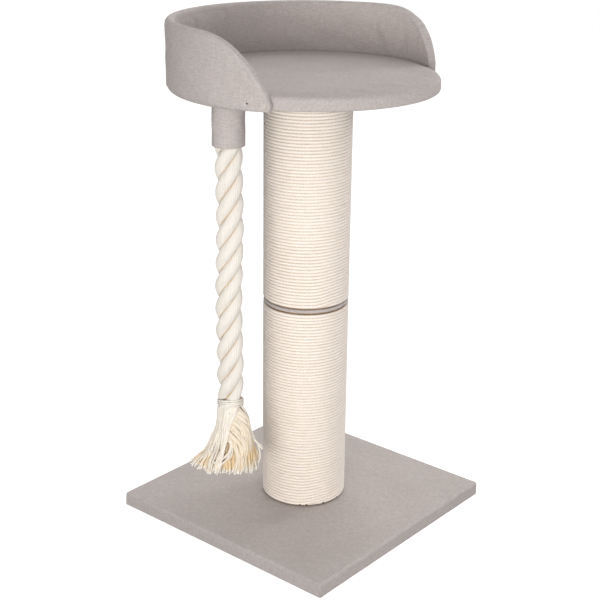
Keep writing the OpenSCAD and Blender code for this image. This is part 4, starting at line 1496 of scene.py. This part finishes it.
# The platform's foam, rounder at its rim than the plain solid, so that it stays under the cloth
def buildPlatformFoam():
    size = platformPadding
    (_, _, bottom), (outer, _, _) = boxOf("platform_foam")
    edge = outer - size["sideGap"]
    top = boxOf("platform_cover")[1][2] - size["topGap"]
    corner = min(platformCloth["edgeRound"] - size["sharper"], (top - bottom) * 0.95)
    profile = [(0, top), (edge * 0.5, top), (edge - corner, top)]
    profile += roundCorner(edge - corner, top - corner, corner, math.pi / 2, 0)[1:]
    profile += [(edge, bottom), (edge * 0.5, bottom), (0, bottom)]
    return turnedPiece("platform_pad", profile, 160, finish="foam")


# Small browned nails that hold the lowest turn of the winding to its tube

footNails = {
    "angles": (-4.6, 4.7, 29, 53.6, 96, 131, 168, -160, -118, -75),  # degrees from the camera's side
    "headRadius": 1.8,
    "headDepth": 1.3,
    "profile": ((0, 0), (0.45, -0.05), (0.8, -0.25), (1, -0.6), (0.95, -0.85), (0.4, -1), (0, -1)),
    "out": 74.9,
    "lift": 2.0,
    "lean": 0.12,         # no two heads lean alike
}


def buildFootNails():
    size = footNails
    centre = np.array([0, 0, boxOf("lower_sisal")[0][2] + size["lift"]])
    upwards = np.array([0, 0, 1])
    rim = np.linspace(0, fullTurn, 17)[:, None]
    patches = []
    for number, degrees in enumerate(size["angles"]):
        turn = math.radians(degrees) - math.pi / 2 - photoView["turn"]
        outwards = np.array([math.cos(turn), math.sin(turn), 0])
        sideways = np.array([-math.sin(turn), math.cos(turn), 0])
        lean = size["lean"] * math.cos(number * 2.4)
        disc = np.cos(rim) * sideways + np.sin(rim) * upwards
        rows = []
        for reach, depth in size["profile"]:
            spread = reach * size["headRadius"]
            sunk = size["out"] + depth * size["headDepth"] + lean * spread * np.cos(rim)
            rows.append(centre + sunk * outwards + spread * disc)
        points = np.array(rows)
        points[:, -1] = points[:, 0]
        patches.append({"points": points, "cloth": np.zeros(points.shape[:2] + (2,))})
    return weaveMesh("foot_nails", patches, "nail")


baseCover = buildBaseCover()
platformCover = buildPlatformCover()
wallCover = buildWallCover()
wallPad = buildWallPadding()
platformPad = buildPlatformFoam()
footNailHeads = buildFootNails()
spacerCover = buildSpacerCover()
holderCover = buildHolderCover()
print("covers made")


# The CAD nodes that stay get their materials

def dressNodes():
    finishOf = {part["node"]: part["material_slot"] for part in frame["record"]["subparts"]}
    finishOf["wall_brads"] = "nail"
    for name, finish in finishOf.items():
        if finish in finishes:
            for place in frame["nodes"][name].material_slots:
                place.material = finishes[finish]


dressNodes()


# What each piece rides on and which CAD nodes it stands for

def settle(piece, body, slot, *nodes):
    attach(piece, body)
    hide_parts(*nodes)


settle(lowerWinding, "root", "sisal", "lower_sisal")
settle(upperWinding, "root", "sisal", "upper_sisal")
settle(baseCover, "root", "fabric", "base_cover")
settle(platformCover, "root", "fabric", "platform_cover")
settle(wallCover, "root", "fabric", "wall_cover")
settle(wallPad, "root", "foam", "wall_padding")
settle(platformPad, "root", "foam", "platform_foam")
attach(footNailHeads, "root")
settle(spacerCover, "root", "fabric", "spacer_cover")
settle(holderCover, "root", "fabric", "holder_cover")
settle(heldEnd, "rope_top", "cotton", "rope_neck")
settle(binding, "rope", "cotton", "whipping")
settle(tassel, "rope", "cotton", "tassel")

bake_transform(rope)
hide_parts("rope")


# Studio: a pale floor, even light, a low wide lamp in front, a soft one at the right, one above behind

studio = {
    "ambient": 0.52,
    "frontPower": 13.8,
    "frontSize": (2.6, 0.7),
    "frontHeight": 0.56,
    "frontSpread": math.radians(84),
    "sidePower": 21,
    "sideSize": (0.8, 0.8),
    "topPower": 21,
    "topSize": (1.6, 1.6),
    "floorTone": 0.34,
    "floorGlow": 0.93,
    "floorReach": 6.0,
    "floorLevel": -0.6 * mm,
}


def areaLight(name, power, size, place, spread=math.pi, target=Vector((0, 0, 0.6))):
    lamp = bpy.data.lights.new(name, "AREA")
    lamp.energy = power
    lamp.spread = spread
    lamp.shape = "RECTANGLE"
    lamp.size, lamp.size_y = size
    light = addObject(name, lamp)
    light.location = place
    light.rotation_euler = (target - place).to_track_quat("-Z", "Y").to_euler()


def seenDirectly(maker):
    path = maker.make("ShaderNodeLightPath", {}, {}, "Is Camera Ray")
    shiny = path.other("Is Glossy Ray").math("MAXIMUM", path.other("Is Transmission Ray"))
    return path.math("MAXIMUM", shiny)


def setStudio():
    world = bpy.data.worlds.new("studio")
    bpy.context.scene.world = world
    world.use_nodes = True
    world.node_tree.nodes.clear()
    maker = NodeMaker(world.node_tree)
    lit = maker.make("ShaderNodeBackground", {}, {"Color": (1, 1, 1, 1), "Strength": studio["ambient"]})
    seen = maker.make("ShaderNodeBackground", {}, {"Color": (1, 1, 1, 1), "Strength": 1.0})
    shader = maker.make("ShaderNodeMixShader", {}, {0: seenDirectly(maker), 1: lit, 2: seen})
    maker.make("ShaderNodeOutputWorld", {}, {"Surface": shader}, None)
    away, right, up = photoAway, photoRight, Vector((0, 0, 1))
    front = right * -0.1 - away * 2.4 + up * studio["frontHeight"]
    areaLight("front", studio["frontPower"], studio["frontSize"], front, studio["frontSpread"])
    areaLight("side", studio["sidePower"], studio["sideSize"], right * 1.9 + away * 1.4 + up * 1.3)
    areaLight("top", studio["topPower"], studio["topSize"], up * 2.2 + away * 1.7)


def buildFloor():
    material, maker = newMaterial("floor")
    grain = maker.noise(objectPlace(maker), 3, 2)
    pale, paler = studio["floorTone"] - 0.01, studio["floorTone"] + 0.01
    colour = maker.blend(grain, (pale, pale, pale, 1), (paler, paler, paler, 1))
    matt = maker.make("ShaderNodeBsdfDiffuse", {}, {"Color": colour})
    glow = maker.make("ShaderNodeEmission", {}, {"Color": (1, 1, 1, 1), "Strength": studio["floorGlow"]})
    both = maker.make("ShaderNodeAddShader", {}, {0: matt, 1: glow})
    shader = maker.make("ShaderNodeMixShader", {}, {0: seenDirectly(maker), 1: matt, 2: both})
    maker.make("ShaderNodeOutputMaterial", {}, {"Surface": shader}, None)
    reach, level = studio["floorReach"], studio["floorLevel"]
    mesh = bpy.data.meshes.new("floor")
    corners = [(reach * x, reach * y, level) for x, y in ((-1, -1), (1, -1), (1, 1), (-1, 1))]
    mesh.from_pydata(corners, [], [(0, 1, 2, 3)])
    mesh.materials.append(material)
    addObject("floor", mesh)


setStudio()
buildFloor()
bpy.context.scene.view_settings.view_transform = "Standard"
print("studio set")
